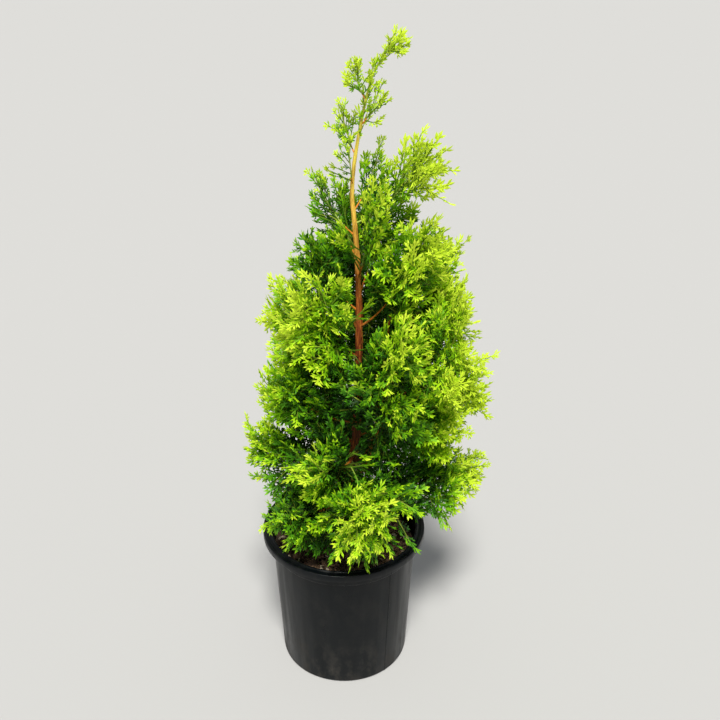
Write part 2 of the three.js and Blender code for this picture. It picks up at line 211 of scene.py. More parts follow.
# One spray: fingers of leaf on both sides of its axis, the long ones on side axes of their own
SIDE_GAP = 0.0112
FIRST_SIDE = 0.1
LEAST_FIRST = 0.004
SIDE_LEANS = (52, 34)
LEAN_SPREAD = 10
SIDE_REACHES = (0.82, 1.16)
TERMINAL = 0.032
TERMINAL_SHARE = 0.42
UNDER_TERMINAL = 0.55
SIDE_TERMINAL = 0.027
LONGEST_FINGER = 0.034
LEAST_REACH = 0.0115
SHORTEST_FINGER = 0.009
FIRST_FORK = 0.008
FORK_GAP = 0.0106
FORK_LEAN = 40
FORK_LENGTHS = (0.011, 0.025)

# One finger: a core with slim scaly shoots in pairs along it, each a closed kite
PAIR_GAP = 0.0108
MOST_PAIRS = 3
SHOOT_LENGTH = 0.0165
SHOOT_LEANS = (41, 29)
SHOOT_HALF = 0.0021
CORE_HALF = 0.0016
TIP_HALF = 0.0024
FINGER_HALF = 0.0072
FINGER_THICK = 0.0015
FINGER_ROLL = 56
FINGER_PITCH = 30
FINGER_PROBES = ((0, 0.55), (0, 1), (FINGER_HALF, 0.6), (-FINGER_HALF, 0.6))
WIDEST_PLACE = 0.62
KITE_FACES = [(0, 1, 2), (0, 2, 3), (1, 0, 3), (1, 3, 2)]

# Stalks of sprays: a main one's and a side one's radius, how far they run under the last finger, colours
STALK_RADII = (0.0018, 0.0013)
STALK_OVER = 0.004
STALKS = (("stalks_green", (98, 136, 28)), ("stalks_pale", (128, 150, 44)))
PALE_ABOVE = 0.6

# The tones of leaf, from the painted shade of the inside to the golden tips that also carry painted light:
# share of all fingers and sRGB colour
TONES = [
    ("shade", 0.23, (26, 62, 8)),
    ("deep", 0.22, (46, 98, 8)),
    ("green", 0.21, (74, 136, 8)),
    ("fresh", 0.17, (114, 172, 10)),
    ("bright", 0.11, (162, 206, 20)),
    ("tip", 0.06, (200, 226, 52)),
]

# What makes a finger paler: its height and the crown's top, which is painted light from above, its place on
# the spray, and chance for each spray, finger and bough; the bough's draw is keyed so that front boughs come
# out darker, a painted shade.
# The hollow at the front gets painted shade, by its height and half sizes in the view.
HEIGHT_PAINTED_LIGHT = 0.64
ALONG_TONE = 0.34
TOP_PAINTED_LIGHT = 0.35
SPRAY_TONE = 0.38
FINGER_TONE = 0.12
BOUGH_TONE_AND_PAINTED_SHADE = 0.32
HOLLOW_PAINTED_SHADE = 0.58
HOLLOW_HEIGHT = 0.53
HOLLOW_HALVES = (0.052, 0.12)

# The grain of each kind of wood: the step between its rings, its sides and the depth of its relief
TRUNK_GRAIN = (0.0026, 30, 0.00075)
SECOND_GRAIN = (0.0024, 20, 0.0005)
BOUGH_GRAIN = (0.002, 12, 0.0003)
SHOOT_GRAIN = (0.002, 12, 0.0001)
TWIG_GRAIN = (0.004, 7, 0.0002)
GREEN_GRAIN = (0.005, 5, 0.0001)
DRY_GRAIN = (0.012, 3, 0)
WAVES = 9

# Swellings: the collar under each limb, high in shares of the limb's radius; a lump on the leader, with
# the height where it sits, its turn in radians, its own height and its length; and the flare of the foot
COLLAR_HEIGHT = 0.45
COLLAR_LENGTH = 0.007
LUMP_AT = 0.863
LUMP = (4.2, 0.0024, 0.006)
FOOT_TURNS = (0.4, 2.3, 3.9, 5.3)
FOOT_SWELLING = (0.003, 0.014)

# Colours of bark by height, and how far up a twig is brown
TRUNK_COLOURS = [
    (0.0, (112, 92, 72)), (0.18, (124, 86, 56)), (0.34, (150, 74, 36)), (0.5, (164, 80, 36)),
    (0.57, (216, 124, 50)), (0.64, (252, 178, 72)), (0.78, (255, 212, 88)), (0.9, (222, 212, 80)),
    (1.0, (176, 204, 60)),
]
LIMB_COLOURS = [(0.0, (132, 86, 50)), (0.25, (176, 96, 42)), (0.5, (216, 124, 46)), (1.0, (234, 150, 60))]
TWIG_BROWN = (226, 138, 46)
TWIG_GREEN = (176, 196, 92)
BROWN_BOUGH = 0.72
BROWN_SHOOT = 0.3

# Strips of peeling bark, and dead sprays inside the crown's foot
SHREDS = 230
SHRED_HEIGHTS = (0.282, 0.76)
SHRED_LENGTHS = (0.008, 0.03)
SHRED_LIFTS = (0.0004, 0.0032)
SHRED_HALVES = (0.0006, 0.0014)
SHRED_SHAPE = (0.5, 1, 0.8, 0.2)
SHRED_THICK = 0.0005
DRY_SPRAYS = 44
DRY_HEIGHTS = (0.312, 0.47)
DRY_LENGTHS = (0.03, 0.085)
DRY_RADII = (0.0009, 0.0003)
DRY_STRANDS = 12
DRY_CLEAR = 0.008
DRY_KINDS = (("dry_brown", (126, 100, 70)), ("dry_grey", (132, 138, 98)))

# The pot below its rim: wall and floor, lip, shoulder, foot, drain notches, and a mould line on two sides
NECK_RADIUS = 0.144
BASE_RADIUS = 0.128
WALL = 0.002
POT_FLOOR = 0.0025
RIM_ROLL = 0.0026
SKIRT = 0.0018
LIP_DROP = 0.013
SHOULDER_DROP = 0.034
SHOULDER_STEP = 0.003
BASE_CORNER = 0.005
DRAINS = 8
DRAIN_WIDTH = 0.026
DRAIN_HEIGHT = 0.013
DRAIN_DEPTH = 0.016
DRAIN_CORNER = 0.004
POT_SIDES = 144
MOULD_TURN = 128.75
MOULD_WIDTH = 0.0024
MOULD_RISE = 0.0006
MOULD_ROWS = range(5, 12)
CREASE = 34
POT_BLACK = (5, 9, 12)
POT_DUST = (74, 70, 64)

# The mulch and its chips, each kind with a dark and a light colour
SOIL_SIDES = 120
SOIL_RADII = (0.1335, *np.linspace(0.131, 0.003, 46))
SOIL_WAVES = 14
MULCH_COLOURS = ((44, 36, 30), (84, 68, 56))
CHIPS = 2600
CHIP_ZONE = 0.131
CHIP_LIMIT = 0.137
CHIP_LENGTHS = (0.0026, 0.013)
CHIP_TILT = 1.5
CHIP_KINDS = [
    ("chips_dark", (44, 34, 28), (84, 64, 50)),
    ("chips_brown", (92, 72, 56), (140, 112, 88)),
    ("chips_pale", (150, 136, 112), (206, 192, 166)),
]


def mix(low, high, share):
    """The value a share of the way from low to high"""
    return low + (high - low) * share


def chance(*keys):
    """A repeatable number from 0 to 1 for each set of whole-number keys. The first ones say what it is for,
    and the last one keeps the draws for different uses apart."""
    state = SEED
    for key in keys:
        state = ((state ^ (key + 1)) * 0x9E3779B1 + 0x7F4A7C15) & 0xFFFFFFFF
        state ^= state >> 15
    return state / 2**32


def between(span, *keys):
    """A repeatable value inside a span"""
    return mix(*span, chance(*keys))


def around(width, *keys):
    """A repeatable value up to half a width under or over zero"""
    return width * (chance(*keys) - 0.5)


def unit(vectors):
    """The vectors at length 1"""
    vectors = np.asarray(vectors, float)
    return vectors / np.linalg.norm(vectors, axis=-1, keepdims=True)


def level(turn):
    """The level direction at a turn in radians from +X"""
    return np.array([cos(turn), sin(turn), 0])


def swung(first, second, angle):
    """The direction that lies an angle in radians from the first one towards the second"""
    return first * cos(angle) + second * sin(angle)


def shade(red, green, blue):
    """A colour that is given as 0 to 255 on screen, as the shader needs it"""
    screen = np.array([red, green, blue]) / 255
    linear = np.where(screen <= 0.04045, screen / 12.92, ((screen + 0.055) / 1.055) ** 2.4)
    return (*linear, 1.0)


class Limb:
    """A curve with a radius at every share of its length and a sideways direction"""

    def __init__(self, point_at, radius_at, sideways):
        self.point_at = point_at
        self.radius_at = radius_at
        self.sideways = np.array(sideways, float)

    def points(self, shares):
        return self.point_at(np.atleast_1d(np.asarray(shares, float)))

    def directions(self, shares):
        shares = np.atleast_1d(np.asarray(shares, float))
        low = np.clip(shares - 1e-4, 0, 1)
        high = np.clip(shares + 1e-4, 0, 1)
        return unit(self.point_at(high) - self.point_at(low))

    def path(self, steps):
        return self.points(np.linspace(0, 1, steps + 1))

    def length(self):
        return np.linalg.norm(np.diff(self.path(200), axis=0), axis=1).sum()


def stem_limb(stem_points):
    """A stem through its points, each a centre and a radius"""
    table = np.array(stem_points, float)
    centres = table[:, :3]
    ends = np.vstack([2 * centres[0] - centres[1], centres, 2 * centres[-1] - centres[-2]])
    last = len(centres) - 1

    def point_at(shares):
        place = shares * last
        i = np.minimum(place.astype(int), last - 1)
        w = (place - i)[:, None]
        before, start, end, after = (ends[i + k] for k in range(4))
        leave = (end - before) / 2
        arrive = (after - start) / 2
        square = -3 * start + 3 * end - 2 * leave - arrive
        cube = 2 * start - 2 * end + leave + arrive
        return start + leave * w + square * w**2 + cube * w**3

    def radius_at(shares):
        return np.interp(shares, np.linspace(0, 1, last + 1), table[:, 3])

    return Limb(point_at, radius_at, (0, 1, 0))


def arching_limb(start, bend, tip, radii, sideways, taper=1.0):
    """A limb on one arc from its start, drawn towards its bend. A low taper thins it near its start."""

    def point_at(shares):
        t = shares[:, None]
        return start * (1 - t) ** 2 + bend * 2 * t * (1 - t) + tip * t**2

    def radius_at(shares):
        return mix(*radii, shares**taper)

    return Limb(point_at, radius_at, sideways)


def share_at_height(limb, height):
    """The share of a stem's curve that lies at a height"""
    low, high = 0.0, 1.0
    for _ in range(40):
        middle = (low + high) / 2
        if limb.points(middle)[0, 2] < height:
            low = middle
        else:
            high = middle
    return low


def bough_limb(stem, root, turn, reach, rise, radius):
    """A bough leaves its stem, runs outwards and then turns up to its tip"""
    start = stem.points(share_at_height(stem, root))[0]
    out = level(radians(turn))
    bend = start + out * reach * BEND_OUT + UP * rise * BEND_UP
    tip = start + out * reach + UP * rise
    return arching_limb(start, bend, tip, (radius, TWIG_TIP), np.cross(UP, out), 0.5)


def nearest(starts, steps, points):
    """How far each point is from each straight step, as a table of points by steps"""
    offset = points[:, None, :] - starts[None]
    share = np.clip((offset * steps).sum(2) / (steps * steps).sum(1), 0, 1)
    return np.linalg.norm(offset - share[..., None] * steps, axis=2)


def distance_to(path, points):
    """How far each point is from a path of straight steps"""
    return nearest(path[:-1], np.diff(path, axis=0), points).min(1)


leader = stem_limb(LEADER)
side_stem = stem_limb(SIDE_STEM)
masses = []
Mass = namedtuple("Mass", "name stem bare limb")


def crosses(limb, stem):
    """Whether a limb passes too near a stem that it doesn't grow from, or another limb"""
    points = limb.path(PATH_STEPS * 2)[2:]
    other = side_stem if stem is leader else leader
    if (distance_to(other.path(16), points) < STEM_PASS).any():
        return True
    return any((distance_to(mass.limb.path(10), points) < LIMB_PASS).any() for mass in masses)


def add_limb(name, stem, bare, root, turn, reach, rise, radius):
    """Adds a limb at its turn, or at the nearest turn either way where it crosses nothing"""
    for i in range(2 * MOST_STEPS + 1):
        step = ceil(i / 2) * (1 if i % 2 else -1)
        limb = bough_limb(stem, root, turn + step * STEP_ASIDE, reach, rise, radius)
        if not crosses(limb, stem):
            masses.append(Mass(name, stem, bare, limb))
            return


def winding_boughs():
    """The boughs that wind up the leader: the higher, the shorter and the steeper"""
    for i in range(BOUGHS):
        share = i / (BOUGHS - 1)
        turn = FIRST_TURN + TURN * i + around(TURN_SPREAD, i, 1)
        lean = 1 + LOPSIDED * cos(radians(turn))
        swell = mix(LOWEST_SWELL, 1, min(1, share * 5)) * (1 - share**2.3 * TOP_SHRINK)
        reach = WIDEST_REACH * swell * lean * between(REACH_SPREAD, i, 2)
        slope = mix(*SLOPES, share**0.85) + around(SLOPE_SPREAD, i, 3)
        root = mix(*ROOTS, share**ROOT_CROWDING)
        bare = mix(*BARE_SHARES, share) if root < BARE_UNDER else 0
        rise = reach * tan(radians(slope))
        add_limb(f"{i + 1:02d}", leader, bare, root, turn, reach, rise, mix(*BOUGH_RADII, share))


def placed_boughs():
    """The side stem's boughs, the long shoot, and the small shoots that grow straight from the leader"""
    for name, *place in SIDE_BOUGHS:
        add_limb(name, side_stem, SIDE_BARE, *place, SIDE_RADIUS)
    add_limb("long_shoot", leader, *LONG_SHOOT)
    for i, root in enumerate(SHOOT_HEIGHTS):
        sizes = [mix(*span, i / (len(SHOOT_HEIGHTS) - 1)) for span in SHOOT_SIZES]
        add_limb(f"leader_{i + 1}", leader, 0, root, SHOOT_TURN + TURN * i, *sizes)


def stem_tip(name, stem, lift):
    """The mass that ends a stem and carries its curve on"""
    along = stem.directions(1)[0]
    start = stem.points(1)[0] + along * TOUCH
    bend = start + along * np.linalg.norm(lift) * 0.5
    limb = arching_limb(start, bend, start + np.array(lift), (stem.radius_at(1.0), TWIG_TIP), (0, 1, 0))
    masses.append(Mass(name, stem, 0, limb))


winding_boughs()
placed_boughs()
stem_tip("leader_tip", leader, LEADER_LIFT)
stem_tip("side_tip", side_stem, SIDE_LIFT)

# The space round each limb: a point belongs to the mass whose limb is nearest
paths = [mass.limb.path(PATH_STEPS) for mass in masses]
path_starts = np.vstack([path[:-1] for path in paths])
path_steps = np.vstack([np.diff(path, axis=0) for path in paths])
path_owner = np.repeat(np.arange(len(paths)), PATH_STEPS)
stem_paths = [leader.path(40), side_stem.path(16)]


def in_own_space(points, owner):
    """Whether each point is nearer to its own limb than to any other, inside the frame's box, and clear of
    stem, soil and rim"""
    gaps = nearest(path_starts, path_steps, points)
    own = gaps[:, path_owner == owner].min(1)
    others = gaps[:, path_owner != owner].min(1)
    at_stem = np.minimum(STEM_CLEAR, own * 0.5 + 0.002) + 0.002
    inside = (others > own - OVERLAP) & (points[:, 2] > SOIL_TOP + SOIL_CLEAR)
    inside &= ((points > BOX_LOW) & (points < BOX_HIGH)).all(1)
    over_rim = np.hypot(points[:, 0], points[:, 1]) > INNER_ZONE
    inside &= ~(over_rim & (points[:, 2] < POT_TOP + RIM_CLEAR))
    for path in stem_paths:
        inside &= distance_to(path, points) > at_stem
    return inside


def alternate(start, end, gap, side, keys, dice):
    """Places along an axis on its two sides in turn: each one's number, place and side"""
    count = 0
    while start < end:
        yield count, start, side
        start += gap * between(SPACING, *keys, count, dice)
        side = -side
        count += 1


def spray_plan(length, width, keys):
    """The axes and fingers of one flat spray in its own plane, along +Y from its root.
    An axis is its root's x and y and its lean; a finger is its axis, its place on it, lean and length."""
    axes = [(0.0, 0.0, 0.0)]
    terminal = min(TERMINAL, TERMINAL_SHARE * length)
    fingers = [(0, length - terminal, 0.0, terminal)]
    first_side = 1 if chance(*keys, 11) < 0.5 else -1
    start, end = max(FIRST_SIDE * length, LEAST_FIRST), length - terminal * UNDER_TERMINAL
    for count, place, side in alternate(start, end, SIDE_GAP, first_side, keys, 14):
        share = place / length
        # The outline is half as wide at the root, widest at a quarter, and closes to a blunt tip
        swell = min(1, 0.5 + 2 * share) * (1 - share) ** 0.85 + 0.06
        lean = radians(mix(*SIDE_LEANS, share) + around(LEAN_SPREAD, *keys, count, 12))
        reach = width * length * swell / sin(lean) * between(SIDE_REACHES, *keys, count, 13)
        reach = max(reach, LEAST_REACH)
        if reach <= LONGEST_FINGER:
            fingers.append((0, place, side * lean, reach))
        else:
            side_axis(axes, fingers, place, side, lean, reach, (*keys, count))
    return axes, fingers


def side_axis(axes, fingers, root, side, lean, reach, keys):
    """A side axis with a finger at its end and shorter ones that fork from it on both sides"""
    axis = len(axes)
    axes.append((0.0, root, side * lean))
    terminal = min(SIDE_TERMINAL, reach * 0.6)
    fingers.append((axis, reach - terminal, 0.0, terminal))
    for count, place, fork in alternate(FIRST_FORK, reach - terminal * 0.6, FORK_GAP, side, keys, 17):
        size = min(max(0.6 * (reach - place), FORK_LENGTHS[0]), FORK_LENGTHS[1])
        angle = radians(FORK_LEAN + around(LEAN_SPREAD, *keys, count, 16))
        fingers.append((axis, place, fork * angle, size * between((0.8, 1.15), *keys, count, 15)))


def new_spray(owner, keys, root, way, flat, length, habit):
    """A spray from its root along its way, in the plane that holds its flat direction"""
    across = unit(flat - way * flat.dot(way))
    facing = np.cross(across, way)
    upright = min(max((root[2] - DROOP_UNDER) / DROOP_FADE, 0), 1)
    bend = between([mix(*span, upright) for span in zip(LOW_CURLS, HIGH_CURLS)], *keys, 7)
    curl = UP * SPRAY_CURL * bend + facing * around(0.3, *keys, 8)
    return SimpleNamespace(owner=owner, keys=keys, root=root, way=way, across=across, facing=facing,
                           curl=curl, length=length, habit=habit, on_stem=False)


def habit_of(mass, size):
    """Slim whips at the leader's top, slim sprays high up and on small twigs, and broad ones elsewhere"""
    if mass.name.startswith("leader"):
        return WHIP
    return SLIM if size < SLIM_UNDER or mass.limb.points(0)[0, 2] > OPEN_ABOVE else BROAD


def sprays_of(mass, owner):
    """Where the sprays of a mass sit: alternate sides of its twig, the solids' own and finer ones between"""
    limb = mass.limb
    twig = limb.length()
    first = max(mass.bare + 0.05, FIRST_SPRAY / twig)
    size = min(max(twig / FULL_TWIG, SMALLEST), 1)
    habit = habit_of(mass, size)
    count = max(3, round((1 - first) * twig / SPRAY_GAP)) * habit.finer
    sprays = []
    for j in range(count + 1):
        last = j == count
        share = j / count
        t = mix(first, LAST_SPRAY, share)
        main, finer = divmod(j, habit.finer)
        keys = (owner, main, finer) if finer else (owner, main)
        along = limb.directions(t)[0]
        side = limb.sideways * (1 if (j + owner) % 2 else -1)
        swing = 0 if last else radians(mix(*SWINGS, share))
        if finer:
            swing = (swing + radians(around(FINER_SWING, *keys, 20))) * habit.swing
        roll = radians(around(FINER_ROLL if finer else SPRAY_ROLL, *keys, 5))
        tilt = swung(side, unit(np.cross(side, along)), roll)
        way = unit(swung(along, tilt, swing))
        length = SPRAY_LENGTH * size * between((0.9, 1.1), *keys, 6) * mix(1, 0.5, share)
        flat = tilt if last else -along
        sprays.append(new_spray(owner, keys, limb.points(t)[0], way, flat, length, habit))
    return sprays


def side_sprays(parent):
    """Smaller sprays that leave a spray's axis on all sides and give it body"""
    sprays = []
    habit = parent.habit
    across, facing = parent.across, parent.facing
    for k in range(habit.side_sprays):
        keys = (*parent.keys, 40 + k)
        place = mix(*SIDE_PLACES, (k + chance(*keys, 1)) / habit.side_sprays) * parent.length
        root = warp(parent, np.array([0, place, 0]))
        aside = swung(across, facing, tau * chance(*keys, 2))
        swing = between((min(24, habit.side_swing / 2), habit.side_swing), *keys, 3)
        way = unit(swung(parent.way, aside, radians(swing)))
        flat = swung(across, facing, tau * chance(*keys, 4))
        length = parent.length * between(SIDE_LENGTHS, *keys, 6)
        side = new_spray(parent.owner, keys, root, way, flat, length, habit)
        side.place = place
        sprays.append(side)
    return sprays


def inner_sprays(mass, owner):
    """Short sprays on the bare part of a bough, in the shade near the stem"""
    limb = mass.limb
    sprays = []
    for k in range(int(mass.bare * limb.length() / INNER_SPRAYS)):
        keys = (owner, 300 + k)
        share = between((0.3, 1), *keys, 1) * mass.bare
        along = limb.directions(share)[0]
        aside = swung(limb.sideways, np.cross(limb.sideways, along), tau * chance(*keys, 2))
        way = unit(swung(along, aside, radians(between((40, 100), *keys, 3))))
        length = INNER_LENGTH * between((0.7, 1.3), *keys, 6)
        sprays.append(new_spray(owner, keys, limb.points(share)[0], way, along, length, BROAD))
    return sprays


def leader_sprays(owner):
    """Slim sprays that hug the green end of the leader"""
    sprays = []
    low = share_at_height(leader, GREEN_ABOVE)
    for k in range(LEADER_SPRAYS):
        keys = (owner, 500 + k)
        rank = (k + 0.6 * chance(*keys, 1)) / LEADER_SPRAYS
        share = mix(low, 1, rank)
        along = leader.directions(share)[0]
        out = level(radians(TURN * k))
        aside = unit(out - along * out.dot(along))
        way = unit(swung(along, aside, radians(between(LEADER_SWINGS, *keys, 3))))
        length = mix(*LEADER_LENGTHS, rank) * between(SPACING, *keys, 6)
        flat = np.cross(along, aside)
        spray = new_spray(owner, keys, leader.points(share)[0], way, flat, length, WHIP)
        spray.on_stem = True
        sprays.append(spray)
    return sprays


def warp(spray, local):
    """Places points of a spray's own plane, with +Z its upper face, on the spray's arch"""
    x, y, z = local[..., 0:1], local[..., 1:2], local[..., 2:3]
    arch = spray.curl * (y * np.abs(y) / spray.length)
    return spray.root + spray.across * x + spray.way * y + spray.facing * z + arch


def spread(sprays, owners, local):
    """Warps many groups of points, each on the spray that owns it"""
    columns = {}
    for key in ("root", "across", "way", "facing", "curl", "length"):
        values = np.array([np.atleast_1d(getattr(spray, key)) for spray in sprays])
        columns[key] = values[owners.astype(int)][:, None]
    return warp(SimpleNamespace(**columns), local)


def fit_axis(spray):
    """Shortens a spray until its axis lies in its mass's own space, or says that it can't"""
    natural = spray.length
    while spray.length > max(SHORTEST_SPRAY, natural * 0.35):
        line = np.outer(AXIS_PROBES, (0, spray.length, 0))
        if in_own_space(warp(spray, line), spray.owner).all():
            return True
        spray.length *= 0.9
    return False


def turned(x, y, lean, u, v):
    """The place of a point that lies u across and v along a line that leans from +Y"""
    return x + u * np.cos(lean) + v * np.sin(lean), y - u * np.sin(lean) + v * np.cos(lean)


def seen_beside(points):
    """How far to the side of the leader, and at what height on it, the photograph's view shows points"""
    away = (points[:, 1] + CAMERA_DISTANCE)[:, None] / CAMERA_DISTANCE
    eye = np.array([0, -CAMERA_DISTANCE, CAMERA_HEIGHT])
    seen = eye + (points - eye) / away
    return seen[:, 0] - np.interp(seen[:, 2], LEADER_Z, LEADER_X), seen[:, 2]


def before_leader(points):
    """Whether each point lies before one of the stretches of the leader that the photograph shows bare"""
    beside, height = seen_beside(points)
    bare = np.any([(height > low) & (height < high) for low, high in BARE_STRETCHES], axis=0)
    return (np.abs(beside) < BARE_STRIP) & (points[:, 1] < 0) & bare


def fitted_fingers(spray, axes, fingers):
    """The fingers of a spray that lie in its mass's own space, shortened where that helps.
    A row is a finger's axis, its place there, its root's x and y, its lean and its length."""
    rows = []
    for axis, place, lean, length in fingers:
        x0, y0, axis_lean = axes[axis]
        x, y = turned(x0, y0, axis_lean, 0, place)
        rows.append((axis, place, x, y, axis_lean + lean, length))
    table = np.array(rows)
    if spray.on_stem:
        return table
    for _ in range(4):
        x, y, lean, length = table.T[2:]
        probes = []
        for u, v in FINGER_PROBES:
            px, py = turned(x, y, lean, u, v * length)
            probes.append(np.stack([px, py, np.zeros(len(px))], axis=1))
        places = warp(spray, np.concatenate(probes))
        inside = in_own_space(places, spray.owner) & ~before_leader(places)
        inside = inside.reshape(len(FINGER_PROBES), -1).all(0)
        if inside.all():
            break
        table[~inside, 5] *= 0.78
    return table[inside & (table[:, 5] > SHORTEST_FINGER)]


def dress(spray):
    """Gives a spray its plan and the fingers that fit, as far as the first long stretch that stays bare.
    A spray that too few of them fit isn't grown, so no bare stalk is."""
    spray.plan = spray_plan(spray.length, spray.habit.width, spray.keys)
    kept = fitted_fingers(spray, *spray.plan)
    roots = np.array([axis[1] for axis in spray.plan[0]])
    places = np.where(kept[:, 0] == 0, kept[:, 1], roots[kept[:, 0].astype(int)])
    ordered = np.sort(np.append(places, 0))
    ends = ordered[:-1][np.diff(ordered) > WIDEST_GAP]
    if len(ends):
        kept, places = kept[places <= ends[0]], places[places <= ends[0]]
    spray.kept = kept
    spray.reach = max(places, default=0)
    return len(kept) >= max(FEWEST_FINGERS, FEWEST_SHARE * len(spray.plan[1]))


def fitted_sprays(mass, owner):
    """The sprays of a mass that find room, with the side sprays that each of them holds"""
    found = []
    if mass.name == "leader_tip":
        found = [spray for spray in leader_sprays(owner) if dress(spray)]
    firsts = sprays_of(mass, owner)
    if mass.bare > 0 and mass.name != "long_shoot":
        firsts += inner_sprays(mass, owner)
    for spray in firsts:
        if fit_axis(spray) and dress(spray):
            found.append(spray)
            sides = [side for side in side_sprays(spray) if side.place <= spray.reach]
            found += [side for side in sides if fit_axis(side) and dress(side)]
    return found


def grow_fingers():
    """Every finger of the crown and every axis that carries them, each row led by its spray's number"""
    sprays, fingers, axes = [], [], []
    for owner, mass in enumerate(masses):
        for spray in fitted_sprays(mass, owner):
            kept = spray.kept
            number = len(sprays)
            sprays.append(spray)
            fingers.append(np.column_stack([np.full(len(kept), number), kept]))
            for i, (x, y, lean) in enumerate(spray.plan[0]):
                reach = spray.reach if i == 0 else max(kept[kept[:, 0] == i, 1], default=0)
                if reach > 0.002:
                    axes.append((number, i, x, y, lean, reach))
    return sprays, np.vstack(fingers), np.array(axes)


def kite(root, tip, half, lift):
    """A slim closed blade with four corners, widest towards its blunt tip and ridged on both faces"""
    root = np.array(root, float)
    along = np.array(tip, float) - root
    side = unit((along[1], -along[0])) * half
    middle = root + along * WIDEST_PLACE
    return [(*root, 0.5), (*(middle + side), -0.5), (*(root + along), 0.5 + lift), (*(middle - side), -0.5)]


def finger_pattern(pairs):
    """A finger of one half width, length and thickness: its core's two rings, its kites and which of them
    lie towards its tip"""
    length = (pairs + 0.75) * PAIR_GAP
    core = [(x * CORE_HALF * size, y, z) for y, size in ((0, 1), (length - SHOOT_LENGTH * 0.4, 0.9))
            for x, z in ((-1, -0.5), (1, -0.5), (0, 0.5))]
    kites = []
    for k in range(pairs):
        share = k / pairs
        reach = SHOOT_LENGTH * (0.84 if k == 0 else 1) * (1 - 0.42 * share)
        lean = radians(mix(*SHOOT_LEANS, share))
        for sign, shift in ((1, 0.08), (-1, 0.5)):
            y = (k + shift) * PAIR_GAP
            tip = (sign * reach * sin(lean), y + reach * cos(lean))
            kites.append(kite((0, y), tip, SHOOT_HALF * (1 - 0.22 * share), 0.9 * sign * (-1) ** k))
    kites.append(kite((0, length - SHOOT_LENGTH), (0, length), TIP_HALF, 0))
    scale = (FINGER_HALF, length, 1)
    outer = np.arange(len(kites)) >= 2 * pairs - 1
    return np.array(core) / scale, np.array(kites).reshape(-1, 3) / scale, outer


def finger_corners(sprays, table, dice, pattern):
    """The corners of a pattern on each finger: fingers by corners by 3"""
    x, y, lean, length = (table[:, k, None] for k in (3, 4, 5, 6))
    half = FINGER_HALF * np.clip(length / 0.026, 0.62, 1.05) * mix(0.88, 1.12, dice[:, 0:1])
    u = pattern[None, :, 0] * half
    v = pattern[None, :, 1] * length
    w = pattern[None, :, 2] * FINGER_THICK
    u, w = turned(0, 0, -np.radians(FINGER_ROLL) * (dice[:, 1:2] - 0.5), u, w)
    v, w = turned(0, 0, -np.radians(FINGER_PITCH) * (dice[:, 2:3] - 0.42), v, w)
    w = w + 0.0012 * (dice[:, 3:4] - 0.5)
    return spread(sprays, table[:, 0], np.stack([*turned(x, y, lean, u, v), w], axis=2))


def copies(groups, faces):
    """The corners and triangles of many groups of corners that all have the same triangles"""
    starts = groups.shape[1] * np.arange(len(groups))[:, None, None]
    return groups.reshape(-1, 3), (np.array(faces)[None] + starts).reshape(-1, 3)


def tube_faces(rings, sides):
    """The triangles of a closed tube of rings, from its first ring to its last"""
    faces = []
    for i in range(rings - 1):
        for k in range(sides):
            a = i * sides + k
            b = i * sides + (k + 1) % sides
            faces += [(a, b, b + sides), (a, b + sides, a + sides)]
    last = (rings - 1) * sides
    for k in range(1, sides - 1):
        faces += [(0, k + 1, k), (last, last + k, last + k + 1)]
    return np.array(faces)


def new_object(name, data):
    """An object in the scene"""
    thing = bpy.data.objects.new(name, data)
    bpy.context.scene.collection.objects.link(thing)
    return thing


def add_mesh(name, parts, material, nodes=(), smooth=False):
    """One piece from parts that are each corners and triangles. It rides with the part's one body."""
    corners = np.vstack([part[0] for part in parts])
    starts = np.cumsum([0] + [len(part[0]) for part in parts[:-1]])
    faces = np.vstack([part[1] + start for part, start in zip(parts, starts)])
    mesh = bpy.data.meshes.new(name)
    mesh.from_pydata(corners, [], faces)
    mesh.polygons.foreach_set("use_smooth", np.full(len(faces), smooth))
    mesh.materials.append(material)
    piece = new_object(name, mesh)
    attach(piece, "root")
    if nodes:
        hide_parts(*nodes)
    return piece


def put(tree, value, socket):
    """Gives an input its own value, or links it to the output that feeds it"""
    if isinstance(value, bpy.types.NodeSocket):
        tree.links.new(value, socket)
    else:
        socket.default_value = value


def feed(tree, node, **named):
    """Feeds a node's inputs by name, with _ for a space, and sets its settings"""
    for key, value in named.items():
        socket = node.inputs.get(key.replace("_", " "))
        if socket is None:
            setattr(node, key, value)
        else:
            put(tree, value, socket)


def add_node(tree, kind, output, **named):
    """The output of a new node that is fed by name"""
    node = tree.nodes.new("ShaderNode" + kind)
    feed(tree, node, **named)
    return node.outputs[output]


def add_math(tree, operation, *values):
    """The result of one sum on values that are numbers or outputs"""
    node = tree.nodes.new("ShaderNodeMath")
    node.operation = operation
    for socket, value in zip(node.inputs, values):
        put(tree, value, socket)
    return node.outputs["Value"]


def add_range(tree, value, given, wanted=(0, 1)):
    """A value brought from its given span to the wanted one"""
    return add_node(tree, "MapRange", "Result", Value=value, From_Min=given[0], From_Max=given[1],
                    To_Min=wanted[0], To_Max=wanted[1])


def add_ramp(tree, factor, stops):
    """The colour that stops, each a place and an sRGB colour, give a factor"""
    node = tree.nodes.new("ShaderNodeValToRGB")
    ramp = node.color_ramp
    while len(ramp.elements) > 1:
        ramp.elements.remove(ramp.elements[-1])
    ramp.elements[0].position = stops[0][0]
    ramp.elements[0].color = shade(*stops[0][1])
    for place, colour in stops[1:]:
        ramp.elements.new(place).color = shade(*colour)
    tree.links.new(factor, node.inputs["Fac"])
    return node.outputs["Color"]


def place_on(tree, along=1.0):
    """The object's own coordinates in metres, drawn out along Z where the number is low"""
    where = add_node(tree, "TexCoord", "Object")
    return add_node(tree, "Mapping", "Vector", Vector=where, Scale=(1, 1, along))


def height_on(tree):
    """The height above the ground"""
    position = add_node(tree, "NewGeometry", "Position")
    return add_node(tree, "SeparateXYZ", "Z", Vector=position)


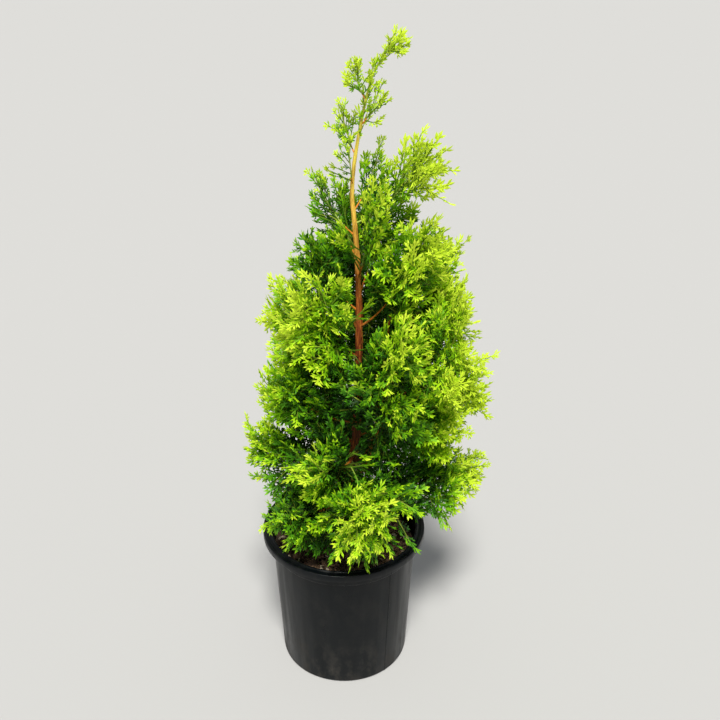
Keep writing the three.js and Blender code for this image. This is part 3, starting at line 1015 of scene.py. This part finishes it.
def add_noise(tree, along, scale, detail, roughness=0.5):
    """Soft noise, drawn out along Z where the first number is low"""
    return add_node(tree, "TexNoise", "Fac", Vector=place_on(tree, along), Scale=scale, Detail=detail,
                    Roughness=roughness)


def add_mix(tree, factor, first, second, blend="MIX"):
    """Two colours mixed"""
    return add_node(tree, "Mix", "Result", data_type="RGBA", blend_type=blend, Factor=factor, A=first,
                    B=second)


def add_bump(tree, shader, height, strength, distance):
    """Relief on a shader, from a height"""
    bump = add_node(tree, "Bump", "Normal", Strength=strength, Distance=distance, Height=height)
    feed(tree, shader, Normal=bump)


def new_material(name, colour, roughness, specular):
    """A material with its colour, roughness and shine on the shader's own sockets"""
    material = bpy.data.materials.new(name)
    material.use_nodes = True
    tree = material.node_tree
    shader = tree.nodes["Principled BSDF"]
    feed(tree, shader, Base_Color=colour, Roughness=roughness, Specular_IOR_Level=specular)
    return material, tree, shader


def leaf_material(name, colour):
    """Waxy scale leaves: one plain colour, with the scales' relief and a patchy gloss"""
    material, tree, shader = new_material(name, shade(*colour), 0.5, 0.22)
    scales = add_node(tree, "TexVoronoi", "Distance", Vector=place_on(tree), Scale=620.0, Randomness=0.8)
    add_bump(tree, shader, scales, 0.5, 0.0006)
    feed(tree, shader, Roughness=add_range(tree, scales, (0, 1), (0.38, 0.66)))
    return material


def bark_material(name, colours, heights, noise):
    """Fibrous bark whose colour runs with height, streaked and flaking along the limb"""
    material, tree, shader = new_material(name, (0.2, 0.08, 0.04, 1), 0.8, 0.25)
    streaks = add_noise(tree, 0.12, noise, 6.0, 0.65)
    height = add_range(tree, height_on(tree), heights)
    shifted = add_math(tree, "MULTIPLY_ADD", streaks, 0.22, height)
    colour = add_ramp(tree, add_math(tree, "SUBTRACT", shifted, 0.11), colours)
    grain = add_ramp(tree, streaks, [(0.36, (96, 84, 76)), (0.6, (255, 255, 255))])
    feed(tree, shader, Base_Color=add_mix(tree, 0.6, colour, grain, "MULTIPLY"))
    add_bump(tree, shader, streaks, 0.7, 0.0012)
    return material


def pot_material():
    """Black moulded plastic: a satin skin with faint streaks, scuffs, and dust that gathers low down"""
    material, tree, shader = new_material("pot_plastic", shade(*POT_BLACK), 0.36, 0.2)
    low = add_range(tree, height_on(tree), (0, 0.11), (0.75, 0.1))
    patches = add_range(tree, add_noise(tree, 0.6, 34.0, 7.0, 0.62), (0.46, 0.72))
    amount = add_math(tree, "MULTIPLY", low, patches)
    dusty = add_mix(tree, amount, shade(*POT_BLACK), shade(*POT_DUST))
    scuffs = add_noise(tree, 0.08, 60.0, 5.0)
    satin = add_range(tree, scuffs, (0.3, 0.7), (0.26, 0.5))
    feed(tree, shader, Base_Color=dusty, Roughness=add_math(tree, "MULTIPLY_ADD", amount, 0.5, satin))
    add_bump(tree, shader, scuffs, 0.12, 0.0006)
    return material


def earth_material(name, dark, light):
    """Crumbled bark and peat, mottled between two colours"""
    material, tree, shader = new_material(name, shade(*dark), 0.95, 0.15)
    grain = add_noise(tree, 1, 240.0, 8.0, 0.7)
    feed(tree, shader, Base_Color=add_ramp(tree, grain, [(0.34, dark), (0.66, light)]))
    add_bump(tree, shader, grain, 0.9, 0.0015)
    return material


def crown_width(heights, radial):
    """How far out the crown reaches at each height, from the outer tips of level bands"""
    bands = np.arange(0.28, 1.3, 0.06)
    widths = []
    for band in bands:
        near = np.abs(heights - band) < 0.05
        widths.append(np.percentile(radial[near], 93) if near.sum() > 20 else 0.04)
    return np.interp(heights, bands, widths)


def deal_tones_with_painted_light(tips, along, luck):
    """The tone of each finger: darker as painted shade inside, low down and in the hollow, paler as painted
    light at the outer tips
    """
    x, y, z = tips.T
    radial = np.hypot(x - np.interp(z, LEADER_Z, LEADER_X), y)
    outer = np.clip(radial / crown_width(z, radial), 0, 1.15)
    # Painted light and shade: fingers far out in the crown are paler, those near the stem darker
    score = 0.3 * outer + 0.4 * outer**3 + ALONG_TONE * along + luck
    # Painted light from above: higher fingers, and most of all those at the crown's top, are paler
    score += HEIGHT_PAINTED_LIGHT * np.clip((z - 0.3) / 0.9, 0, 1) ** 0.7
    score += TOP_PAINTED_LIGHT * np.clip((z - 0.95) / 0.1, 0, 1)
    # Painted shade: fingers before the hollow at the front, as the view shows them, are darker
    beside, height = seen_beside(tips)
    across, up = beside / HOLLOW_HALVES[0], (height - HOLLOW_HEIGHT) / HOLLOW_HALVES[1]
    score -= HOLLOW_PAINTED_SHADE * np.exp(-(across**2) - up**2) * (y < 0)
    order = np.argsort(np.argsort(score)) / len(score)
    limits = np.cumsum([tone[1] for tone in TONES])
    return np.minimum(np.searchsorted(limits, order, side="right"), len(TONES) - 1)


def finger_tones(sprays, fingers):
    """The number of each finger's tone, by its tip, whose place brings painted light and shade, its place on
    its spray and chance
    """
    owners = fingers[:, 0].astype(int)
    x, y, lean, length = fingers[:, 3:].T
    local = np.stack([*turned(x, y, lean, 0, length), np.zeros(len(x))], axis=1)
    tips = spread(sprays, owners, local[:, None])[:, 0]
    lengths = np.array([spray.length for spray in sprays])[owners]
    along = np.clip((y + length * np.cos(lean)) / lengths, 0, 1)
    luck = SPRAY_TONE * np.array([chance(*spray.keys, 9) for spray in sprays])
    # Each bough's tone is partly chance and partly painted shade: its draw is keyed so that front boughs
    # come out darker
    luck += BOUGH_TONE_AND_PAINTED_SHADE * np.array([chance(spray.owner, 136) for spray in sprays])
    own_luck = FINGER_TONE * np.array([chance(n, 10) for n in range(len(fingers))])
    return deal_tones_with_painted_light(tips, along, luck[owners] + own_luck)


def add_foliage():
    """The leaf fingers as one piece for each tone, in place of the masses' solids"""
    sprays, fingers, axes = grow_fingers()
    tone = finger_tones(sprays, fingers)
    dice = np.array([[chance(n, k, 31) for k in range(4)] for n in range(len(fingers))])
    pairs = np.clip(np.round(fingers[:, 6] / PAIR_GAP - 0.5), 1, MOST_PAIRS)
    parts = [[] for _ in TONES]
    for count in range(1, MOST_PAIRS + 1):
        core, pattern, outer = finger_pattern(count)
        chosen = pairs == count
        grown = (sprays, fingers[chosen], dice[chosen])
        cores = finger_corners(*grown, core)
        kites = finger_corners(*grown, pattern).reshape(len(cores), -1, 4, 3)
        kite_tones = np.minimum(tone[chosen][:, None] + outer[None], len(TONES) - 1)
        for i in range(len(TONES)):
            parts[i].append(copies(cores[tone[chosen] == i], tube_faces(2, 3)))
            parts[i].append(copies(kites[kite_tones == i], KITE_FACES))
    foliage_nodes = sorted(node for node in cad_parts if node.startswith("foliage_"))
    for (name, _, colour), own_parts in zip(TONES, parts):
        look = leaf_material(f"leaf_{name}", colour)
        add_mesh(f"leaves_{name}", own_parts, look, foliage_nodes)
    add_axes(sprays, axes)


def axis_tubes(sprays, axes, rings):
    """Three-sided tapering stalks along the axes of sprays, as one part"""
    shares = np.linspace(0, 1, rings)
    corner_turns = np.radians([90, 210, 330])
    length = axes[:, 5, None] + STALK_OVER
    thick = np.where(axes[:, 1, None] == 0, *STALK_RADII) * np.clip(length / 0.06, 0.6, 1)
    radius = thick * mix(1, 0.5, shares)[None]
    u = radius[:, :, None] * np.cos(corner_turns)
    w = radius[:, :, None] * np.sin(corner_turns)
    v = np.repeat((shares[None] * length)[:, :, None], 3, axis=2)
    x, y, lean = (axes[:, k, None, None] for k in (2, 3, 4))
    local = np.stack([*turned(x, y, lean, u, v), w], axis=3).reshape(len(axes), rings * 3, 3)
    return copies(spread(sprays, axes[:, 0], local), tube_faces(rings, 3))


def add_axes(sprays, axes):
    """The stalks of the sprays in two tones; the main one of each spray bends in more steps"""
    luck = np.array([chance(*spray.keys, 19) for spray in sprays])
    pale = luck[axes[:, 0].astype(int)] > PALE_ABOVE
    main = axes[:, 1] == 0
    for (name, colour), chosen in zip(STALKS, (~pale, pale)):
        parts = [axis_tubes(sprays, axes[chosen & main], 5), axis_tubes(sprays, axes[chosen & ~main], 3)]
        add_mesh(name, parts, leaf_material(name, colour))


def ripple(along, turn, seed):
    """A stringy relief from -1 to 1, long along the limb and short round it"""
    total = np.zeros(np.broadcast(along, turn).shape)
    for k in range(WAVES):
        rounds = 2 + int(7 * chance(seed, k, 41))
        pitch = between((30, 240), seed, k, 42)
        phase = tau * chance(seed, k, 43)
        drift = 1.6 * np.sin(along * between((40, 130), seed, k, 44) + phase * 3)
        total += np.sin(rounds * turn + pitch * along * 0.35 + phase + drift)
    return total / sqrt(WAVES) / 1.6


def bark_tube(limb, low, high, grain, seed, swellings=()):
    """A limb with stringy bark, from a low share to a high one: a closed tube with relief and swellings"""
    step, sides, depth = grain
    rings = max(4, int(limb.length() * (high - low) / step))
    shares = np.linspace(low, high, rings)
    along = limb.directions(shares)
    if limb is leader:
        along[0] = UP  # its foot is cut flat on the soil
    across = unit(limb.sideways - along * (along @ limb.sideways)[:, None])
    third = np.cross(along, across)
    turn = np.linspace(0, tau, sides, endpoint=False)[None]
    distance = (shares * limb.length())[:, None]
    radius = limb.radius_at(shares)[:, None]
    relief = depth * np.minimum(1, radius / 0.005) * ripple(distance, turn, seed)
    for place, facing, lift, reach in swellings:
        near = np.exp(-(((shares - place) * limb.length() / reach) ** 2))[:, None]
        relief = relief + lift * near * np.exp(2.2 * (np.cos(turn - facing) - 1))
    radius = (radius + relief)[..., None]
    corners = limb.points(shares)[:, None] + across[:, None] * (radius * np.cos(turn)[..., None])
    corners = corners + third[:, None] * (radius * np.sin(turn)[..., None])
    return corners.reshape(-1, 3), tube_faces(rings, sides)


def collars_on(stem):
    """The swelling under each limb that leaves a stem"""
    found = []
    for mass in masses:
        if mass.stem is not stem or mass.name.endswith("tip"):
            continue
        limb = mass.limb
        share = share_at_height(stem, limb.points(0)[0, 2])
        along = stem.directions(share)[0]
        across = unit(stem.sideways - along * along.dot(stem.sideways))
        out = limb.directions(0.05)[0]
        facing = atan2(out.dot(np.cross(along, across)), out.dot(across))
        found.append((share, facing, limb.radius_at(0.0) * COLLAR_HEIGHT, COLLAR_LENGTH))
    return found


def add_wood():
    """The leader, the side stem, the boughs and the twigs in the masses"""
    trunk_bark = bark_material("trunk_bark", TRUNK_COLOURS, (0.27, 1.2), 260.0)
    limb_bark = bark_material("limb_bark", LIMB_COLOURS, (0.33, 0.86), 340.0)
    green_stem = leaf_material("twig_green", TWIG_GREEN)
    lump = (share_at_height(leader, LUMP_AT), *LUMP)
    foot = [(0.0, turn, *FOOT_SWELLING) for turn in FOOT_TURNS]
    trunk = bark_tube(leader, 0, 1, TRUNK_GRAIN, 51, [*collars_on(leader), lump, *foot])
    add_mesh("trunk", [trunk], trunk_bark, ["leader"], smooth=True)
    second = bark_tube(side_stem, 0, 1, SECOND_GRAIN, 52, collars_on(side_stem))
    add_mesh("second_stem", [second], limb_bark, ["side_stem"], smooth=True)
    boughs, woody, green = [], [], []
    for i, mass in enumerate(masses):
        limb, bare = mass.limb, mass.bare
        brown = BROWN_BOUGH if bare > 0 else BROWN_SHOOT
        if mass.name == "long_shoot":
            brown = bare
            stalk = bark_tube(limb, 0, bare, SHOOT_GRAIN, 60 + i)
            add_mesh("long_shoot", [stalk], green_stem, ["bough_long_shoot"], smooth=True)
        elif bare > 0:
            boughs.append(bark_tube(limb, 0, bare, BOUGH_GRAIN, 60 + i))
        if brown > bare:
            woody.append(bark_tube(limb, bare, brown, TWIG_GRAIN, 100 + i))
        green.append(bark_tube(limb, brown, 1, GREEN_GRAIN, 140 + i))
    bough_nodes = sorted(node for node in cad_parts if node.startswith("bough_"))
    bough_nodes.remove("bough_long_shoot")
    add_mesh("boughs", boughs, limb_bark, bough_nodes, smooth=True)
    add_mesh("twigs_brown", woody, leaf_material("twig_brown", TWIG_BROWN), smooth=True)
    add_mesh("twigs_green", green, green_stem, smooth=True)
    add_shreds(limb_bark)
    add_dry_sprays()


def add_shreds(material):
    """Strips of old bark that peel off the leader's lower part, free at their upper or lower end, each a
    little peaked on its outer side"""
    parts = []
    for i in range(SHREDS):
        dice = [chance(i, k, 91) for k in range(6)]
        share = share_at_height(leader, mix(*SHRED_HEIGHTS, dice[0] ** 1.25))
        along = leader.directions(share)[0] * (1 if dice[1] < 0.5 else -1)
        outward = unit(np.cross(along, level(tau * dice[2])))
        across = np.cross(along, outward)
        radius = leader.radius_at(share) + 0.0001
        length = mix(*SHRED_LENGTHS, dice[3])
        lift = mix(*SHRED_LIFTS, dice[4] ** 2)
        corners = []
        for t, width in zip(np.linspace(0, 1, len(SHRED_SHAPE)), SHRED_SHAPE):
            centre = leader.points(share)[0] + along * length * t + outward * (radius + lift * t * t)
            half = across * mix(*SHRED_HALVES, dice[5]) * width
            corners += [centre + half, centre + outward * SHRED_THICK, centre - half]
        parts.append((np.array(corners), tube_faces(len(SHRED_SHAPE), 3)))
    add_mesh("bark_shreds", parts, material)


def add_dry_sprays():
    """Dead sprays that hang round the foot of the leader, from it and from the bare low boughs"""
    low = [mass.limb for mass in masses if mass.bare > 0]
    low = [limb for limb in low if limb.points(0)[0, 2] < DRY_HEIGHTS[1]]
    spots = []
    for i in range(DRY_SPRAYS // 2):
        spots.append(leader.points(share_at_height(leader, between(DRY_HEIGHTS, i, 92)))[0])
        spots.append(low[i % len(low)].points(between((0.05, 0.3), i, 93))[0])
    kinds = [[], []]
    for i, start in enumerate(spots):
        dice = [chance(i, k, 94) for k in range(4)]
        out = level(tau * dice[0])
        length = min(mix(*DRY_LENGTHS, dice[1]), (start[2] - SOIL_TOP - DRY_CLEAR) * 0.95)
        bend = start + out * length * 0.5
        tip = start + out * length * mix(0.3, 0.8, dice[2]) - UP * length * 0.85
        limb = arching_limb(start, bend, tip, DRY_RADII, np.cross(UP, out))
        parts = kinds[0 if dice[3] < 0.55 else 1]
        parts.append(bark_tube(limb, 0, 1, DRY_GRAIN, i))
        for k in range(DRY_STRANDS):
            share = mix(0.25, 0.98, k / (DRY_STRANDS - 1))
            side = (1 if k % 2 else -1) * limb.sideways * between((0.3, 0.9), i, k, 95)
            way = unit(limb.directions(share)[0] + side + 0.3 * out)
            parts.append(strand(limb.points(share)[0], way, between((0.008, 0.02), i, k, 96), 0.0009))
    for (name, colour), parts in zip(DRY_KINDS, kinds):
        add_mesh(name, parts, leaf_material(name, colour))


def strand(place, way, length, half):
    """A narrow closed kite in the open, as one dead shoot"""
    side = unit(np.cross(way, (0.3, 0.2, 1.0)))
    lift = np.cross(side, way) * half * 0.6
    middle = place + way * length * 0.45
    corners = [place, middle + side * half + lift, place + way * length, middle - side * half + lift]
    return np.array(corners), np.array(KITE_FACES)


def ring(radius, turns, height):
    """A level ring of corners, with one radius and height or one for each turn"""
    columns = np.broadcast_arrays(radius * np.cos(turns), radius * np.sin(turns), height)
    return np.stack(columns, axis=1)


def closed_rings(bottom, rings, end):
    """A closed solid from a height on the axis, over rings of corners, to another height on it"""
    sides = len(rings[0])
    corners = np.vstack([[(0, 0, bottom)], *rings, [(0, 0, end)]])
    last = 1 + (len(rings) - 1) * sides
    faces = []
    for k in range(sides):
        following = (k + 1) % sides
        faces.append((0, 1 + following, 1 + k))
        for start in range(1, last, sides):
            a, b = start + k, start + following
            faces += [(a, b, b + sides), (a, b + sides, a + sides)]
        faces.append((len(corners) - 1, last + k, last + following))
    return corners, np.array(faces)


def arc(centre, radius, start, end, steps):
    """Points on a circle in the profile's plane, by angles in degrees"""
    turns = np.radians(np.linspace(start, end, steps + 1))
    return [(centre[0] + radius * cos(a), centre[1] + radius * sin(a)) for a in turns]


def pot_profile():
    """The pot's section from the middle of its underside round the outside and back to the middle"""
    top = POT_TOP
    shoulder = top - SHOULDER_DROP
    inner = NECK_RADIUS - WALL
    return [
        (0, 0),
        *arc((BASE_RADIUS - BASE_CORNER, BASE_CORNER), BASE_CORNER, -90, 0, 5),
        (NECK_RADIUS - SHOULDER_STEP, shoulder - SHOULDER_STEP),
        *arc((NECK_RADIUS - SHOULDER_STEP, shoulder), SHOULDER_STEP, -60, 0, 3),
        (NECK_RADIUS, top - 0.006),
        (RIM_RADIUS - SKIRT - 0.002, top - 0.0045),
        (RIM_RADIUS - SKIRT, top - 0.0065),
        (RIM_RADIUS - SKIRT, top - LIP_DROP),
        *arc((RIM_RADIUS - SKIRT / 2, top - LIP_DROP), SKIRT / 2, 180, 360, 4),
        *arc((RIM_RADIUS - RIM_ROLL, top - RIM_ROLL), RIM_ROLL, 0, 150, 6),
        (RIM_RADIUS - 2 * RIM_ROLL - 0.0014, top - 0.0021),
        (NECK_RADIUS + 2 * RIM_ROLL, top - 0.0021),
        *arc((inner + RIM_ROLL, top - RIM_ROLL), RIM_ROLL, 30, 180, 6),
        (inner, shoulder + SHOULDER_STEP),
        (inner - SHOULDER_STEP, shoulder - SHOULDER_STEP),
        (BASE_RADIUS - WALL, BASE_CORNER + POT_FLOOR),
        (BASE_RADIUS - BASE_CORNER, POT_FLOOR),
        (0, POT_FLOOR),
    ]


def pot_body():
    """The pot as a turned solid, whose outer rows stand out along a mould line on two sides"""
    columns = [(tau * k / POT_SIDES, 0.0) for k in range(POT_SIDES)]
    half = MOULD_WIDTH / 2 / BASE_RADIUS
    for seam in (radians(MOULD_TURN), radians(MOULD_TURN) + pi):
        for shift, rise in ((-1, 0.0), (-0.5, MOULD_RISE), (0.5, MOULD_RISE), (1, 0.0)):
            columns.append((seam + half * shift, rise))
    turns, rises = np.array(sorted(columns)).T
    profile = pot_profile()
    rings = [ring(r + rises * (i in MOULD_ROWS), turns, z) for i, (r, z) in enumerate(profile)]
    return closed_rings(profile[0][1], rings[1:-1], profile[-1][1])


def drain_cutter():
    """Eight blocks at the foot, whose upper corners are cut off, that leave the drain notches"""
    half = DRAIN_WIDTH / 2
    slope = half - DRAIN_CORNER
    section = [(-half, -0.01), (half, -0.01), (half, DRAIN_HEIGHT - DRAIN_CORNER), (slope, DRAIN_HEIGHT),
               (-slope, DRAIN_HEIGHT), (-half, DRAIN_HEIGHT - DRAIN_CORNER)]
    blocks = []
    for i in range(DRAINS):
        out = level(tau * (i + 0.5) / DRAINS)
        side = np.cross(UP, out)
        blocks.append([out * r + side * y + UP * z for r in
                       (BASE_RADIUS - DRAIN_DEPTH, BASE_RADIUS + DRAIN_DEPTH) for y, z in section])
    return copies(np.array(blocks), tube_faces(2, len(section))[:, ::-1])


def add_pot():
    """The nursery pot, smooth but for its creases, with its drain notches cut out"""
    piece = add_mesh("nursery_pot", [pot_body()], pot_material(), ["pot"], smooth=True)
    cutter = new_object("drains", bpy.data.meshes.new("drains"))
    corners, faces = drain_cutter()
    cutter.data.from_pydata(corners.tolist(), [], faces.tolist())
    cut = piece.modifiers.new("drains", "BOOLEAN")
    cut.operation = "DIFFERENCE"
    cut.object = cutter
    cut.solver = "EXACT"
    bpy.context.view_layer.update()
    whole = bpy.data.meshes.new_from_object(piece.evaluated_get(bpy.context.evaluated_depsgraph_get()))
    piece.modifiers.clear()
    piece.data = whole
    bpy.data.objects.remove(cutter)
    whole.polygons.foreach_set("use_smooth", np.ones(len(whole.polygons), bool))
    whole.set_sharp_from_angle(angle=radians(CREASE))


def soil_height(x, y):
    """The top of the mulch: highest round the trunk, with lumps and hollows"""
    r = np.hypot(x, y)
    lumps = 0.0
    for k in range(SOIL_WAVES):
        turn = tau * chance(k, 71)
        scale = between((60, 330), k, 72)
        lumps = lumps + np.sin((x * cos(turn) + y * sin(turn)) * scale + 9 * chance(k, 73)) * 60 / scale
    fall = 0.005 * np.clip((r - 0.034) / 0.1, 0, 1)
    return SOIL_TOP - 0.0008 - fall + 0.0011 * lumps * np.clip((0.136 - r) / 0.02, 0, 1)


def soil_body():
    """The filling of the pot, with relief on its top"""
    turns = np.linspace(0, tau, SOIL_SIDES, endpoint=False)
    wall = NECK_RADIUS - WALL - SHOULDER_STEP - 2 * TOUCH
    low = [(BASE_RADIUS - BASE_CORNER - TOUCH, POT_FLOOR + TOUCH),
           (BASE_RADIUS - WALL - TOUCH, BASE_CORNER + POT_FLOOR + TOUCH),
           (wall, POT_TOP - SHOULDER_DROP - 0.008)]
    rings = [ring(r, turns, z) for r, z in low]
    rings += [ring(r, turns, soil_height(r * np.cos(turns), r * np.sin(turns))) for r in SOIL_RADII]
    return closed_rings(POT_FLOOR + TOUCH, rings, soil_height(0.0, 0.0))


def chip(number):
    """A flake of bark: an uneven slab with a broken outline, lying on the mulch"""
    dice = [chance(number, k, 81) for k in range(9)]
    r = CHIP_ZONE * sqrt(mix(0.012, 1, dice[0]))
    x, y = r * cos(tau * dice[1]), r * sin(tau * dice[1])
    length = mix(*CHIP_LENGTHS, dice[2] ** 2.2)
    width = length * mix(0.28, 0.7, dice[3])
    thick = length * mix(0.22, 0.42, dice[4])
    sides = 5 + int(3 * dice[5])
    lower, upper = [], []
    for k in range(sides):
        turn = tau * k / sides + around(0.5, number, k, 82)
        reach = between((0.72, 1.12), number, k, 83)
        u, v = length * reach * cos(turn), width * reach * sin(turn)
        lower.append((u, v, -thick * 0.5))
        upper.append((u * 0.9, v * 0.88, thick * between((0.35, 0.6), number, k, 84)))
    pitch, roll = CHIP_TILT * (dice[7] - 0.5), CHIP_TILT * (dice[8] - 0.5)
    high = soil_height(x, y) + thick * 0.3 + 0.25 * length * abs(sin(pitch))
    spin = np.array(Euler((roll, pitch, tau * dice[6])).to_matrix())
    corners = np.array(lower + upper) @ spin.T + np.array([x, y, high])
    corners[:, :2] *= min(1, CHIP_LIMIT / np.hypot(corners[:, 0], corners[:, 1]).max())
    return corners, tube_faces(2, sides)


def add_soil():
    """The mulch and the chips on it, in three kinds"""
    add_mesh("mulch", [soil_body()], earth_material("mulch", *MULCH_COLOURS), ["soil"], smooth=True)
    chips = [[], [], []]
    for i in range(CHIPS):
        kind = 0 if chance(i, 85) < 0.46 else (1 if chance(i, 86) < 0.68 else 2)
        chips[kind].append(chip(i))
    for (name, dark, light), parts in zip(CHIP_KINDS, chips):
        add_mesh(name, parts, earth_material(name, dark, light))


def aim_at(thing, target):
    """Turns a camera or light towards a point"""
    forward = unit(np.array(target) - np.array(thing.location))
    right = unit(np.cross(forward, UP))
    up = np.cross(right, forward)
    thing.rotation_mode = "QUATERNION"
    columns = np.stack([right, up, -forward], axis=1)
    thing.rotation_quaternion = Matrix(columns.tolist()).to_quaternion()


def add_camera():
    """The camera in the photograph's place"""
    camera = new_object("camera", bpy.data.cameras.new("camera"))
    camera.data.lens = LENS
    camera.location = (0, -CAMERA_DISTANCE, CAMERA_HEIGHT)
    aim_at(camera, AIM)
    bpy.context.scene.camera = camera


def add_stage():
    """A plain pale floor, a soft sky that pales towards the floor, and one large lamp"""
    mesh = bpy.data.meshes.new("floor")
    corners = [(x * FLOOR_HALF, y * FLOOR_HALF, 0) for x, y in ((-1, -1), (1, -1), (1, 1), (-1, 1))]
    mesh.from_pydata(corners, [], [(0, 1, 2, 3)])
    mesh.materials.append(new_material("floor", FLOOR_GREY, 0.9, 0.5)[0])
    floor = new_object("floor", mesh)
    floor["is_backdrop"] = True
    world = bpy.data.worlds.new("studio")
    bpy.context.scene.world = world
    world.use_nodes = True
    tree = world.node_tree
    height = add_node(tree, "SeparateXYZ", "Z", Vector=add_node(tree, "TexCoord", "Generated"))
    feed(tree, tree.nodes["Background"], Color=add_ramp(tree, height, SKY))
    sun = bpy.data.lights.new("key", "SUN")
    sun.energy = SUN_ENERGY
    sun.angle = radians(SUN_WIDTH)
    sun.color = SUN_COLOUR
    lamp = new_object("key", sun)
    lamp.location = SUN_PLACE
    aim_at(lamp, (0, 0, 0))


add_camera()
add_stage()
bpy.context.scene.view_settings.view_transform = "Standard"
add_pot()
add_soil()
add_wood()
add_foliage()

visual_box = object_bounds()
boxes = {"cad": cad_box, "visual": visual_box}
{name: [list(corner) for corner in box] for name, box in boxes.items()}
